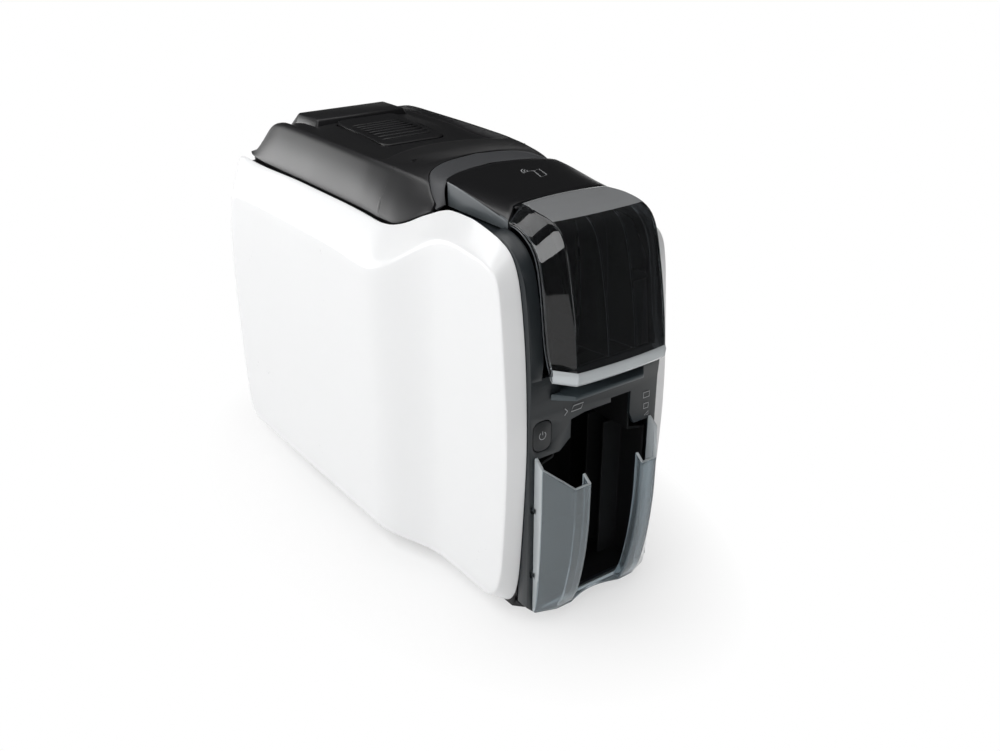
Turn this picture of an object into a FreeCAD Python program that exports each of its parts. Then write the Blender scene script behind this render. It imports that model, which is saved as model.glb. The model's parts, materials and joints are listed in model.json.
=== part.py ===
import FreeCAD, Part
import math
import os
from FreeCAD import Vector

os.makedirs("parts", exist_ok=True)

# Card printer, standing on the floor plane z = 0
# x runs to the right of someone facing the front, the front faces -y, z is up
# Lengths are in millimetres; places along y are shares of the half depth, places along z of the height

# Overall form
half_depth = 187.5
overall_height = 266.0
rear_half_width = 77.5
front_half_width = 62.5
floor_gap = 4.0
waist_rear_share = -0.1493
waist_front_share = -0.491
waist_rear_y = waist_rear_share * half_depth
waist_front_y = waist_front_share * half_depth

# Gaps and fits
seam_gap = 0.4
seat_gap = 0.2
running_gap = 0.05
overrun = 6.0

# Side panels, their outlines in shares of the half depth and the overall height
panel_wall = 2.2
rim_inset = 12.0
rim_rear_shares = [(0.853, 0.870), (0.905, 0.857), (0.925, 0.823), (1.0, 0.357), (0.974, 0.083),
                   (0.955, 0.034), (0.907, 0.015)]
crease_rear_shares = [(0.843, 0.770), (0.896, 0.752), (0.920, 0.718), (0.957, 0.414), (0.944, 0.105),
                      (0.928, 0.062), (0.869, 0.047)]
rim_front_shares = [(waist_front_share, 0.936), (-0.576, 0.938), (-0.709, 0.922), (-0.797, 0.887),
                    (-0.835, 0.808), (-0.870, 0.481), (-0.843, 0.150), (-0.813, 0.053), (-0.715, 0.015)]
crease_front_shares = [(waist_front_share, 0.879), (-0.603, 0.887), (-0.725, 0.875), (-0.789, 0.850),
                       (-0.821, 0.786), (-0.852, 0.470), (-0.829, 0.150), (-0.795, 0.075), (-0.715, 0.047)]
waist_shares = [0.0, 0.125, 0.25, 0.375, 0.5, 0.65, 0.82, 1.0]
waist_rim_shares = [0.870, 0.866, 0.868, 0.877, 0.891, 0.911, 0.928, 0.936]
waist_crease_shares = [0.770, 0.770, 0.779, 0.792, 0.811, 0.835, 0.861, 0.879]
panel_boss_radius = 4.0
panel_boss_y_shares = [-0.62, 0.10, 0.72]
panel_boss_z_shares = [0.28, 0.70]

# Front bezel
bezel_side_gap = 0.5
bezel_half_width = front_half_width - rim_inset - bezel_side_gap
bezel_wall = 2.5
bezel_side_wall = 1.4
bezel_corner = 5.0
bezel_rear_share = -0.448
bezel_rear_y = bezel_rear_share * half_depth
bezel_face_share = -0.88
bezel_face_y = bezel_face_share * half_depth
bezel_low_z = 7.0
bezel_open_share = 3.0
bezel_profile_shares = [(bezel_rear_share, 0.923), (-0.600, 0.923), (-0.712, 0.919), (-0.790, 0.902),
                        (-0.835, 0.865), (-0.861, 0.800), (-0.878, 0.700), (-0.885, 0.600), (-0.880, 0.545)]
bezel_back_shares = [(-0.830, 0.620), (-0.800, 0.780), (-0.760, 0.860), (-0.700, 0.884),
                     (bezel_rear_share, 0.884)]
bezel_top_hole_share = 0.8647
bezel_top_hole_z = bezel_top_hole_share * overall_height
door_opening_share = 0.6335
door_opening_low_z = door_opening_share * overall_height
# Outline of the output opening, as shares of the bezel's half width and the height
mouth_shares = [(-0.92, 0.040), (-0.92, 0.438), (-0.54, 0.438), (-0.38, 0.463), (-0.38, 0.508),
                (-0.16, 0.515), (0.24, 0.515), (0.24, 0.526), (0.56, 0.526), (0.56, 0.470), (0.64, 0.438),
                (0.92, 0.438), (0.92, 0.040)]

# Chassis plates
plate_bezel_step = 3.4
plate_inner_x = bezel_half_width - plate_bezel_step
plate_wall = 1.5
plate_front_share = -0.8
plate_front_y = plate_front_share * half_depth
plate_rear_share = 0.92
plate_rear_y = plate_rear_share * half_depth
plate_step_share = -0.2667
plate_step_y = plate_step_share * half_depth
plate_low_z = 9.0
plate_bay_share = 0.8195
plate_bay_z = plate_bay_share * overall_height
plate_high_share = 0.9045
plate_high_z = plate_high_share * overall_height
plate_step_run = 8.0
plate_nose_run = 16.0

# Rear panel
rear_side_gap = 0.7
rear_half = rear_half_width - rim_inset - rear_side_gap
rear_wall = 2.5
rear_rim = 3.0
rear_face_share = 0.96
rear_face_y = rear_face_share * half_depth
rear_low_z = 8.0
rear_high_share = 0.8414
rear_high_z = rear_high_share * overall_height
vent_count = 9
vent_length = 60.0
vent_height = 2.6
vent_pitch = 6.0
vent_low_share = 0.5639
vent_low_z = vent_low_share * overall_height

# Base tray, feet and case screws
tray_floor = 3.0
tray_wall = 1.5
tray_height = 24.0
tray_corner = 6.0
tray_front_share = -0.8277
tray_front_y = tray_front_share * half_depth
tray_rear_share = 0.9296
tray_rear_y = tray_rear_share * half_depth
rail_reach = 40.0
foot_radius = 8.0
foot_chamfer = 1.0
foot_x_front = 34.0
foot_x_rear = 50.0
foot_front_share = -0.7253
foot_y_front = foot_front_share * half_depth
foot_rear_share = 0.8
foot_y_rear = foot_rear_share * half_depth
screw_radius = 1.5
screw_length = 8.0
screw_head_radius = 2.8
screw_head_height = 1.8
screw_edge = 5.8
screw_x = rear_half - screw_edge
screw_low_z = 14.0
screw_high_share = 0.7857
screw_high_z = screw_high_share * overall_height

# Main board, on posts beside the drive motor
board_wall = 1.6
board_side_gap = 4.6
board_half_width = plate_inner_x - board_side_gap
board_z = 27.0
board_front_share = 0.3307
board_front_y = board_front_share * half_depth
board_rear_share = 0.9067
board_rear_y = board_rear_share * half_depth
board_post_radius = 3.0
chip_size = 16.0
chip_height = 2.0

# Sockets on the main board, each in its window in the rear panel
inlet_edge = 6.0
inlet_x = inlet_edge - board_half_width
inlet_size = 13.0
inlet_depth = 16.0
inlet_bore_radius = 3.2
usb_x = -8.0
usb_width = 12.4
usb_height = 11.4
usb_depth = 16.0
usb_tongue_wall = 2.1
network_x = 22.0
network_width = 16.0
network_height = 13.6
network_depth = 17.0
socket_wall = 1.4
socket_deep = 10.0
lock_edge = 14.8
lock_x = rear_half - lock_edge
lock_width = 7.4
lock_height = 4.4

# Card path
card_half_width = 27.0
path_share = 0.6241
path_z = path_share * overall_height
path_plate_wall = 1.2
path_plate_drop = 0.8
path_side_gap = 0.8
path_half_width = plate_inner_x - path_side_gap
path_rear_share = 0.6293
path_plate_rear_y = path_rear_share * half_depth
path_window_gap = 1.0
path_guide_gap = 0.5
path_guide_height = 4.0
path_flange = 8.0

# Rollers and their gears
roller_radius = 9.0
roller_half_length = 30.0
feed_half_length = 20.0
journal_radius = 2.5
gear_module = 1.0
roller_teeth = 20
idler_teeth = 24
feed_idler_teeth = 48
pinion_teeth = 10
tooth_top_share = 0.9
tooth_root_share = 1.15
root_half_share = 0.34
tip_half_share = 0.11
half_pitch_share = 0.5
gear_width = 4.0
gear_offset = 2.4
bush_flange_radius = 5.5
bush_flange = 0.8
bush_radius = 4.0
stud_radius = 2.0
stud_head_radius = 3.2
stud_head = 0.8
platen_share = 0.0853
platen_y = platen_share * half_depth
cleaning_setback = 30.0
cleaning_radius = 7.0
pinch_radius = 5.0
pinch_lift = 0.9

# Motors
motor_half = 17.5
motor_length = 34.0
motor_corner = 3.0
motor_flange = 2.0
motor_shaft_depth = 12.0
ribbon_motor_radius = 10.0
ribbon_motor_end_gap = 4.6
ribbon_bracket_wall = 1.6
ribbon_bracket_step = 0.1
ribbon_gear_teeth = 24
ribbon_pinion_teeth = 10
ribbon_pinion_hole = 3.0

# Ribbon spools
spool_share = 0.7632
spool_z = spool_share * overall_height
takeup_share = -0.1813
takeup_y = takeup_share * half_depth
supply_share = 0.3627
supply_y = supply_share * half_depth
spool_core_bore = 6.0
spool_flange_radius = 15.0
spool_flange = 1.5
spool_half_length = 31.0
takeup_roll_radius = 9.5
supply_roll_radius = 14.0
hub_radius = 5.9
hub_reach = 12.0
hub_shoulder_radius = 9.0

# Lid
lid_wall = 2.2
deck_share = 0.9737
deck_z = deck_share * overall_height
block_front_share = 0.5227
block_front_y = block_front_share * half_depth
block_rear_share = 0.6987
block_rear_y = block_rear_share * half_depth
block_half_width = 38.0
block_slope = 5.0
block_run = 12.0
# Stations of the lid from rear to front: y, then base half width and crest half width as shares of the
# printer's half width there, and the heights of the base, the crest and the middle
lid_y_shares = [0.917, 0.843, 0.763, 0.667, 0.320, 0.0, -0.080, -0.150, -0.224, -0.293, -0.352, -0.432]
lid_base_shares = [0.775, 0.813, 0.829, 0.829, 0.829, 0.829, 0.829, 0.826, 0.822, 0.811, 0.803, 0.795]
lid_base_z_shares = [0.872, 0.872, 0.872, 0.872, 0.874, 0.874, 0.873, 0.870, 0.872, 0.887, 0.908, 0.932]
lid_crest_shares = [0.645, 0.677, 0.690, 0.697, 0.697, 0.690, 0.677, 0.665, 0.652, 0.654, 0.663, 0.670]
lid_crest_z_shares = [0.891, 0.938, 0.974, 0.987, 0.989, 0.987, 0.985, 0.983, 0.980, 0.972, 0.962, 0.950]
lid_middle_z_shares = [0.893, 0.936, 0.968, 0.974, 0.974, 0.974, 0.978, 0.990, 0.996, 0.994, 0.990, 0.984]
crest_ridge = 6.0
flank_bow = 1.2
hinge_y_share = 0.9173
hinge_y = hinge_y_share * half_depth
hinge_z_share = 0.844
hinge_z = hinge_z_share * overall_height
hinge_pin_radius = 2.5
hinge_ear_radius = 5.0
hinge_arm_wall = 4.0
hinge_lug_run = 15.0
barrel_pin_depth = 8.2
web_run = 12.0
web_rise = 9.0
lid_stop_clearance = 0.6

# Frame under the lid
frame_drop = 13.4
frame_z = deck_z - frame_drop
frame_wall = 2.0
frame_side_gap = 2.6
frame_half_width = plate_inner_x - frame_side_gap
frame_front_share = -0.0853
frame_front_y = frame_front_share * half_depth
frame_rear_share = 0.7253
frame_rear_y = frame_rear_share * half_depth
frame_rail = 8.0
frame_post_inset = 4.0
frame_post_x = frame_half_width - frame_post_inset
pivot_ear_x = 14.0
pivot_ear_half = 2.7

# Arch trim at the front of the lid: outer edge and inner edge, from the middle to the foot, in shares of
# the printer's half width there, the half depth and the height
arch_outer_shares = [(0.0, -0.224, 0.997), (0.334, -0.240, 0.994), (0.517, -0.269, 0.985),
                     (0.619, -0.304, 0.972), (0.693, -0.341, 0.952), (0.750, -0.384, 0.925)]
arch_inner_shares = [(0.0, -0.320, 0.989), (0.341, -0.336, 0.986), (0.520, -0.360, 0.979),
                     (0.611, -0.375, 0.970), (0.651, -0.386, 0.955), (0.671, -0.395, 0.930)]
arch_wall = 3.0

# Front top cover
door_frame_width = 8.0
cover_half_width = bezel_half_width - door_frame_width
cover_side_run = 5.0
cover_top_half_width = cover_half_width - cover_side_run
cover_corner_run = 8.0
cover_corner_x = cover_half_width - cover_corner_run
cover_rear_share = -0.3253
cover_rear_y = cover_rear_share * half_depth
cover_front_share = -0.6736
cover_front_y = cover_front_share * half_depth
cover_corner_share = -0.7093
cover_corner_y = cover_corner_share * half_depth
cover_wall = 2.2
cover_low_share = 0.9241
cover_low_z = cover_low_share * overall_height
cover_edge_rear_share = 0.9812
cover_edge_front_share = 0.953
cover_crown_rear_share = 0.9887
cover_crown_front_share = 0.9752
cover_shoulder_share = 0.75
cover_open_share = -3.0
cover_lug_inset = 1.0

# Hopper door
door_half_width = cover_half_width
door_side_run = 9.0
door_face_half_width = door_half_width - door_side_run
door_pivot_y_share = -0.6912
door_pivot_y = door_pivot_y_share * half_depth
door_pivot_z_share = 0.9662
door_pivot_z = door_pivot_z_share * overall_height
door_knuckle_radius = 2.4
door_pin_radius = 1.25
door_pin_reach = 5.0
door_web_run = 4.0
pin_lug_gap = 1.2
pin_lug_start_x = door_face_half_width + pin_lug_gap
pin_lug_width = 4.0
door_wall = 2.2
door_side_gap = 0.6
door_crown = 1.5
door_front_shares = [(-0.699, 0.9755), (-0.800, 0.973), (-0.868, 0.960), (-0.912, 0.936),
                     (-0.946, 0.870), (-0.976, 0.759), (-0.995, 0.660)]
door_side_shares = [(-0.726, 0.953), (-0.780, 0.943), (-0.825, 0.925), (-0.856, 0.895), (-0.872, 0.850),
                    (-0.887, 0.780), (-0.930, 0.656)]
door_lip_shares = [(-0.995, 0.643), (-0.978, 0.632)]
door_side_lip_shares = [(-0.934, 0.643), (-0.934, 0.636)]
door_back_shares = [(-0.926, 0.636), (-0.910, 0.660), (-0.888, 0.700), (-0.868, 0.800), (-0.842, 0.888),
                    (-0.785, 0.928), (-0.717, 0.943)]
fin_x = 10.0
fin_wall = 1.5
fin_edge_shares = [(-0.790, 0.958), (-0.815, 0.930), (-0.848, 0.790), (-0.848, 0.668)]

# Input hopper and the weight on its cards
hopper_wall = 2.2
hopper_side_gap = 0.6
hopper_floor_drop = 0.6
hopper_floor_z = path_z - hopper_floor_drop
hopper_top_share = 0.9248
hopper_top_z = hopper_top_share * overall_height
hopper_flange_share = 0.7744
hopper_flange_z = hopper_flange_share * overall_height
hopper_rear_gap = 26.0
hopper_front_share = -0.8533
hopper_front_y = hopper_front_share * half_depth
hopper_mouth_share = -0.8213
hopper_mouth_y = hopper_mouth_share * half_depth
hopper_top_front_share = -0.7253
hopper_top_front_y = hopper_top_front_share * half_depth
card_exit_height = 2.0
weight_wall = 4.0
weight_top_gap = 12.6
weight_travel = hopper_top_z - hopper_floor_z - weight_top_gap
weight_lift = 1.0
weight_slot = 6.0
weight_slot_share = -0.5973
weight_slot_y = weight_slot_share * half_depth
weight_front_share = -0.7893
weight_front_y = weight_front_share * half_depth
weight_rear_gap = 4.0
weight_ear = 5.0
weight_corner = 3.0
weight_handle = 8.0

# Manual feed slot and the lip under it
slot_share = 0.5865
slot_low_z = slot_share * overall_height
slot_height = 6.4
slot_side_gap = 2.0
slot_half_width = card_half_width + slot_side_gap
lip_overhang = 7.0
lip_half_width = slot_half_width + lip_overhang
lip_taper = 10.0
lip_front_half_width = lip_half_width - lip_taper
lip_reach = 11.0
lip_wall = 4.8
lip_drop = 3.6
lip_z = slot_low_z - lip_drop
lip_tongue = 3.0

# Power button and the board behind it
button_inset = 9.5
button_x = button_inset - bezel_half_width
button_share = 0.4925
button_z = button_share * overall_height
button_half_width = 6.5
button_half_height = 9.5
button_corner = 5.0
button_collar = 1.0
button_wall = 2.0
button_proud = 0.3
button_travel = 1.2
button_stem = 5.0
button_stem_half = 2.5
button_post = 2.0
button_post_length = 4.0
button_post_gap = 13.0
switch_size = 6.0
switch_depth = 3.5
button_board_half_height = 15.5
button_board_reach = 9.3

# Output bin
bin_plate_gap = 2.1
bin_half_width = plate_inner_x - bin_plate_gap
bin_neck_gap = 3.6
bin_wall = 1.6
bin_rear_share = -0.4907
bin_rear_y = bin_rear_share * half_depth
bin_floor_z = 7.2
bin_shoulder_gap = 5.5
bin_shoulder_z = button_z - button_board_half_height - bin_shoulder_gap
bin_roof_share = 0.5414
bin_roof_z = bin_roof_share * overall_height
bin_window_low_gap = 2.0
bin_window_low_z = bin_shoulder_z + bin_window_low_gap
bin_window_high_gap = 6.0
bin_window_high_z = bin_roof_z - bin_window_high_gap
bin_rib_setback = 20.0
bin_side_gap = 1.0

# Output guard
guard_wall = 2.0
guard_bin_step = 1.5
guard_outer_x = bin_half_width + guard_bin_step
guard_corner_run = 14.0
guard_corner_x = guard_outer_x - guard_corner_run
guard_inner_run = 26.0
guard_inner_x = guard_outer_x - guard_inner_run
guard_return = 6.0
guard_z_shares = [0.032, 0.075, 0.169, 0.300, 0.455]
guard_front_shares = [-0.918, -0.950, -0.978, -0.992, -0.994]
guard_rear_y = bezel_face_y - seam_gap
guard_knee_share = 0.3
guard_top_rear_share = 0.4436
guard_top_rear_z = guard_top_rear_share * overall_height
guard_top_front_share = 0.3835
guard_top_front_z = guard_top_front_share * overall_height
guard_floor_dip = 4.0
tab_width = 4.0
tab_length = 7.0
tab_z_shares = [0.135, 0.310]

# Latch: the button in the lid, its lever with two hooks, and their strikers
latch_half_width = 24.5
latch_front_share = 0.1493
latch_front_y = latch_front_share * half_depth
latch_rear_share = 0.512
latch_rear_y = latch_rear_share * half_depth
latch_rise = 3.0
latch_top_z = deck_z + latch_rise
latch_wall = 3.0
latch_corner = 8.0
latch_front_drop = 3.0
latch_pivot_share = 0.48
latch_pivot_y = latch_pivot_share * half_depth
latch_pivot_drop = 6.0
latch_pivot_z = deck_z - latch_pivot_drop
latch_pin_radius = 2.0
latch_rib_count = 7
latch_rib_pitch = 6.0
latch_rib_width = 2.4
latch_rib_height = 0.9
latch_rib_half_length = 18.0
latch_rib_front_share = 0.2347
latch_rib_front_y = latch_rib_front_share * half_depth
yoke_wall = 2.5
yoke_depth = 10.0
yoke_front_share = 0.1813
yoke_front_y = yoke_front_share * half_depth
yoke_side_gap = 5.6
yoke_half_width = plate_inner_x - yoke_side_gap
spine_half_width = 8.0
hook_wall = 3.0
hook_width = 3.6
hook_tooth = 1.4
hook_set = 4.0
hook_gap = 0.3
hook_slot_gap = 2.0
hook_slot_length = 14.0
hook_lift = 1.0
hook_low_z = plate_bay_z + hook_lift
striker_reach = 9.0
striker_length = 8.0
striker_wall = 3.0
striker_lift = 5.0
striker_z = plate_bay_z + striker_lift

# Printhead
head_half_width = 31.0
head_depth = 16.0
head_height = 9.0
head_gap = 1.0
head_bead_radius = 1.0
bracket_wall = 1.6
bracket_depth = 24.0
bracket_window_half = 14.0
bracket_window_gap = 12.0


def vec(x, y, z):
    return Vector(x, y, z)


def box(low, high):
    """Box between two corners given as (x, y, z)."""
    size = [b - a for a, b in zip(low, high)]
    return Part.makeBox(size[0], size[1], size[2], vec(*low))


def rod(radius, start_x, end_x, y, z):
    """Cylinder along x."""
    return Part.makeCylinder(radius, end_x - start_x, vec(start_x, y, z), vec(1, 0, 0))


def post(radius, x, y, low_z, high_z):
    """Cylinder along z."""
    return Part.makeCylinder(radius, high_z - low_z, vec(x, y, low_z), vec(0, 0, 1))


def six_corners(radius, across, up):
    """Corners of a hexagon about a centre, in any plane."""
    turns = [math.pi * index / 3 for index in range(6)]
    return [(across + radius * math.cos(turn), up + radius * math.sin(turn)) for turn in turns]


def hexagon(radius, start_x, end_x, y, z):
    """Six-sided bar along x, its corners at the radius."""
    return side_prism(six_corners(radius, y, z), start_x, end_x)


def side_prism(points, start_x, end_x):
    """Closed polygon in the y-z plane, extruded along x."""
    corners = [vec(start_x, y, z) for y, z in points]
    return Part.Face(Part.makePolygon(corners + corners[:1])).extrude(vec(end_x - start_x, 0, 0))


def front_prism(points, start_y, end_y):
    """Closed polygon in the x-z plane, extruded along y."""
    corners = [vec(x, start_y, z) for x, z in points]
    return Part.Face(Part.makePolygon(corners + corners[:1])).extrude(vec(0, end_y - start_y, 0))


def plan_prism(points, low_z, high_z):
    """Closed polygon in the x-y plane, extruded along z."""
    corners = [vec(x, y, low_z) for x, y in points]
    return Part.Face(Part.makePolygon(corners + corners[:1])).extrude(vec(0, 0, high_z - low_z))


def rounded_plan(half_width, front_y, rear_y, low_z, high_z, corner, shift_x=0):
    block = box((shift_x - half_width, front_y, low_z), (shift_x + half_width, rear_y, high_z))
    upright = [e for e in block.Edges if abs(e.Vertexes[0].Z - e.Vertexes[-1].Z) > corner / 2]
    return block.makeFillet(corner, upright)


def curve(points, smooth=True):
    """Edge through points, smooth or as straight runs."""
    if not smooth:
        return [Part.makeLine(a, b) for a, b in zip(points, points[1:])]
    line = Part.BSplineCurve()
    line.interpolate(points)
    return [line.toShape()]


def mirrored(shape):
    return shape.mirror(vec(0, 0, 0), vec(1, 0, 0))


def joined(shapes):
    first = shapes[0]
    if len(shapes) == 1:
        return first
    return first.fuse(shapes[1:]).removeSplitter()


def save(shape, name):
    solids = shape.Solids
    if not solids:
        raise ValueError(name + " has no solid")
    result = solids[0] if len(solids) == 1 else Part.makeCompound(solids)
    result.exportStep(os.path.join("parts", name + ".step"))
    print(name, len(solids), round(result.Volume), result.isValid())


def at_shares(shares, x):
    return [vec(x, y * half_depth, z * overall_height) for y, z in shares]


# Side panels

def plan_half_width(y):
    """Half width of the outside at depth y: wide at the rear, narrow at the front."""
    if y >= waist_rear_y:
        return rear_half_width
    if y <= waist_front_y:
        return front_half_width
    turn = math.pi * (waist_rear_y - y) / (waist_rear_y - waist_front_y)
    blend = (1 + math.cos(turn)) / 2
    return front_half_width + (rear_half_width - front_half_width) * blend


def between_panels(y, gap):
    """Half width left between the rims of the side panels."""
    return plan_half_width(y) - rim_inset - gap


def drawn_in(points, end_y, wall):
    """Points moved inwards by one wall, in y from the end away and in z towards mid height."""
    middle_z = overall_height / 2
    moved = []
    for p in points:
        step_y = math.copysign(min(wall, abs(end_y - p.y)), end_y - p.y)
        step_z = math.copysign(min(wall, abs(middle_z - p.z)), middle_z - p.z)
        moved.append(vec(p.x, p.y + step_y, p.z + step_z))
    return moved


def end_wire(points, end_y):
    """Arcs through each run of three points, closed by straight runs at end_y."""
    edges = []
    for start in range(0, len(points) - 2, 2):
        edges.append(Part.Arc(*points[start:start + 3]).toShape())
    top = vec(points[0].x, end_y, points[0].z)
    low = vec(points[0].x, end_y, points[-1].z)
    if points[0].distanceToPoint(top) > seat_gap:
        edges.insert(0, Part.makeLine(top, points[0]))
    edges += [Part.makeLine(points[-1], low), Part.makeLine(low, top)]
    return Part.Wire(edges)


def end_form(rim_shares, crease_shares, end_y, inset):
    """Front or rear end of a panel: one bevelled block between two flat outlines."""
    outer_x = plan_half_width(end_y) - inset
    rim = drawn_in(at_shares(rim_shares, outer_x - rim_inset), end_y, inset)
    crease = drawn_in(at_shares(crease_shares, outer_x), end_y, inset)
    return Part.makeLoft([end_wire(rim, end_y), end_wire(crease, end_y)], True, True)


def waist_form(inset):
    """Middle of a panel, where its width changes, through cross sections along y."""
    low_rim = rim_front_shares[-1][1] * overall_height + inset
    low_crease = crease_front_shares[-1][1] * overall_height + inset
    sections = []
    for waist_share, rim_share, crease_share in zip(waist_shares, waist_rim_shares, waist_crease_shares):
        y = waist_rear_y + waist_share * (waist_front_y - waist_rear_y)
        outer_x = plan_half_width(y) - inset
        rim_x = outer_x - rim_inset
        corners = [vec(rim_x, y, rim_share * overall_height - inset),
                   vec(outer_x, y, crease_share * overall_height - inset),
                   vec(outer_x, y, low_crease),
                   vec(rim_x, y, low_rim)]
        sections.append(Part.makePolygon(corners + corners[:1]))
    return Part.makeLoft(sections, True, True)


def panel_form(inset):
    rear = end_form(rim_rear_shares, crease_rear_shares, waist_rear_y, inset)
    front = end_form(rim_front_shares, crease_front_shares, waist_front_y, inset)
    return joined([waist_form(inset), rear, front])


def side_panel():
    """Right side panel: a bevelled shell with bosses that reach the chassis plate."""
    shell = panel_form(0).cut(panel_form(panel_wall))
    bosses = []
    plate_outer_x = plate_inner_x + plate_wall
    for y_share in panel_boss_y_shares:
        y = y_share * half_depth
        for z_share in panel_boss_z_shares:
            reach_x = plan_half_width(y) - panel_wall / 2
            z = z_share * overall_height
            bosses.append(hexagon(panel_boss_radius, plate_outer_x + seat_gap, reach_x, y, z))
    return joined([shell] + bosses)


def build_panels():
    right = side_panel()
    save(right, "right_side_panel")
    save(mirrored(right), "left_side_panel")


# Base tray, feet and screws

def plan_outline(front_y, rear_y, gap):
    """Corners of the plan between the panels, its front corners cut, right side first."""
    stations = [front_y + tray_corner, waist_front_y]
    stations += [waist_rear_y + share * (waist_front_y - waist_rear_y) for share in waist_shares[-2::-1]]
    stations.append(rear_y)
    right = [(between_panels(front_y, gap) - tray_corner, front_y)]
    right += [(between_panels(y, gap), y) for y in stations]
    return right + [(-x, y) for x, y in reversed(right)]


def foot_places():
    places = [(foot_x_front, foot_y_front), (foot_x_rear, foot_y_rear)]
    return places + [(-x, y) for x, y in places]


def base_tray():
    low_z = floor_gap
    tray = plan_prism(plan_outline(tray_front_y, tray_rear_y, seam_gap), low_z, tray_height)
    pocket_low_z = low_z + tray_floor
    pocket = plan_prism(plan_outline(tray_front_y - overrun, tray_rear_y - tray_wall, seam_gap + tray_wall),
                        pocket_low_z, tray_height + overrun)
    tray = tray.cut(pocket)
    rails = []
    rail_low = pocket_low_z - seat_gap
    rail_x = plate_inner_x - tray_wall
    for y_start, y_end in ((tray_front_y, plate_front_y + rail_reach), (rail_reach, plate_rear_y)):
        rail = box((rail_x, y_start, rail_low), (plate_inner_x + plate_wall, y_end, plate_low_z - seat_gap))
        rails += [rail, mirrored(rail)]
    tray = joined([tray] + rails)
    for x in (-screw_x, screw_x):
        start_y = tray_rear_y - tray_wall - overrun
        hole = six_corners(screw_radius + running_gap, x, screw_low_z)
        tray = tray.cut(front_prism(hole, start_y, half_depth))
    return tray


def rubber_feet():
    feet = []
    for x, y in foot_places():
        foot = post(foot_radius, x, y, 0, floor_gap)
        round_edges = [e for e in foot.Edges if e.Curve.TypeId == "Part::GeomCircle"]
        rim = [e for e in round_edges if e.Vertexes[0].Z < floor_gap / 2]
        feet.append(foot.makeChamfer(foot_chamfer, rim))
    return Part.makeCompound(feet)


def case_screws():
    """Screws that hold the rear panel, with their heads outside."""
    screws = []
    for x in (-screw_x, screw_x):
        for z in (screw_low_z, screw_high_z):
            shank = front_prism(six_corners(screw_radius, x, z), rear_face_y - screw_length, rear_face_y)
            place = vec(x, rear_face_y, z)
            head = Part.makeCylinder(screw_head_radius, screw_head_height, place, vec(0, 1, 0))
            screws.append(shank.fuse(head))
    return Part.makeCompound(screws)


# Chassis plates

def plate_outline():
    front_low = (plate_front_y, plate_low_z)
    rear_low = (plate_rear_y, plate_low_z)
    lug_front = (hinge_y - hinge_lug_run, plate_bay_z)
    lug_top = (hinge_y - hinge_ear_radius, hinge_z + hinge_ear_radius / 2)
    lug_rear = (plate_rear_y, hinge_z)
    bay_front = (plate_step_y, plate_bay_z)
    step_top = (plate_step_y - plate_step_run, plate_high_z)
    front_top = (plate_front_y + plate_nose_run, plate_high_z)
    front_high = (plate_front_y, plate_bay_z)
    return [front_low, rear_low, lug_rear, lug_top, lug_front, bay_front, step_top, front_top, front_high]


def shaft_places():
    """Depths of the driven roller shafts, each at the roller height."""
    return [feed_y(), front_transport_y(), platen_y, rear_transport_y()]


def pitch_radius(teeth):
    return gear_module * teeth / 2


def idler_step():
    return pitch_radius(roller_teeth) + pitch_radius(idler_teeth)


def roller_z():
    return path_z - roller_radius


def front_transport_y():
    return platen_y - 2 * idler_step()


def rear_transport_y():
    return platen_y + 2 * idler_step()


def feed_idler_y():
    return front_transport_y() - pitch_radius(roller_teeth) - pitch_radius(feed_idler_teeth)


def feed_y():
    return feed_idler_y() - pitch_radius(roller_teeth) - pitch_radius(feed_idler_teeth)


def cleaning_y():
    return front_transport_y() - cleaning_setback


def hopper_rear_y():
    return feed_y() + hopper_rear_gap


def reduction_z():
    return roller_z() - idler_step()


def motor_z():
    return reduction_z() - pitch_radius(idler_teeth) - pitch_radius(pinion_teeth)


def cleaning_z():
    return path_z + pinch_lift + cleaning_radius


def pinch_z():
    return path_z + pinch_lift + pinch_radius


def bushed_places():
    """Places (y, z) of every shaft that turns in bushes in both plates."""
    places = [(y, roller_z()) for y in shaft_places()]
    places += [(cleaning_y(), cleaning_z())]
    places += [(front_transport_y(), pinch_z()), (rear_transport_y(), pinch_z())]
    return places


def idler_places():
    """Places (y, z) of the gear studs on the left plate."""
    return [(feed_idler_y(), roller_z()), (platen_y - idler_step(), roller_z()),
            (platen_y + idler_step(), roller_z()), (platen_y, reduction_z())]


def ribbon_pinion_place():
    reach = pitch_radius(ribbon_gear_teeth) + pitch_radius(ribbon_pinion_teeth)
    return takeup_y, spool_z - reach


def plate_hole(radius, side, y, z, form=rod):
    hole = form(radius, plate_inner_x - overrun, plate_inner_x + plate_wall + overrun, y, z)
    return hole if side > 0 else mirrored(hole)


def chassis_plate(side):
    start, end = plate_inner_x, plate_inner_x + plate_wall
    plate = side_prism(plate_outline(), start, end)
    plate = plate.fuse(rod(hinge_ear_radius - seam_gap, start, end, hinge_y, hinge_z))
    plate = plate if side > 0 else mirrored(plate)
    for y, z in bushed_places():
        plate = plate.cut(plate_hole(bush_radius, side, y, z, hexagon))
    plate = plate.cut(plate_hole(hinge_pin_radius, side, hinge_y, hinge_z))
    if side < 0:
        plate = plate.cut(plate_hole(bush_radius, side, platen_y, motor_z(), hexagon))
    else:
        plate = plate.cut(plate_hole(bush_radius, side, takeup_y, spool_z, hexagon))
        pinion_y, pinion_z = ribbon_pinion_place()
        plate = plate.cut(plate_hole(ribbon_pinion_hole, side, pinion_y, pinion_z))
    return plate.removeSplitter()


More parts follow.
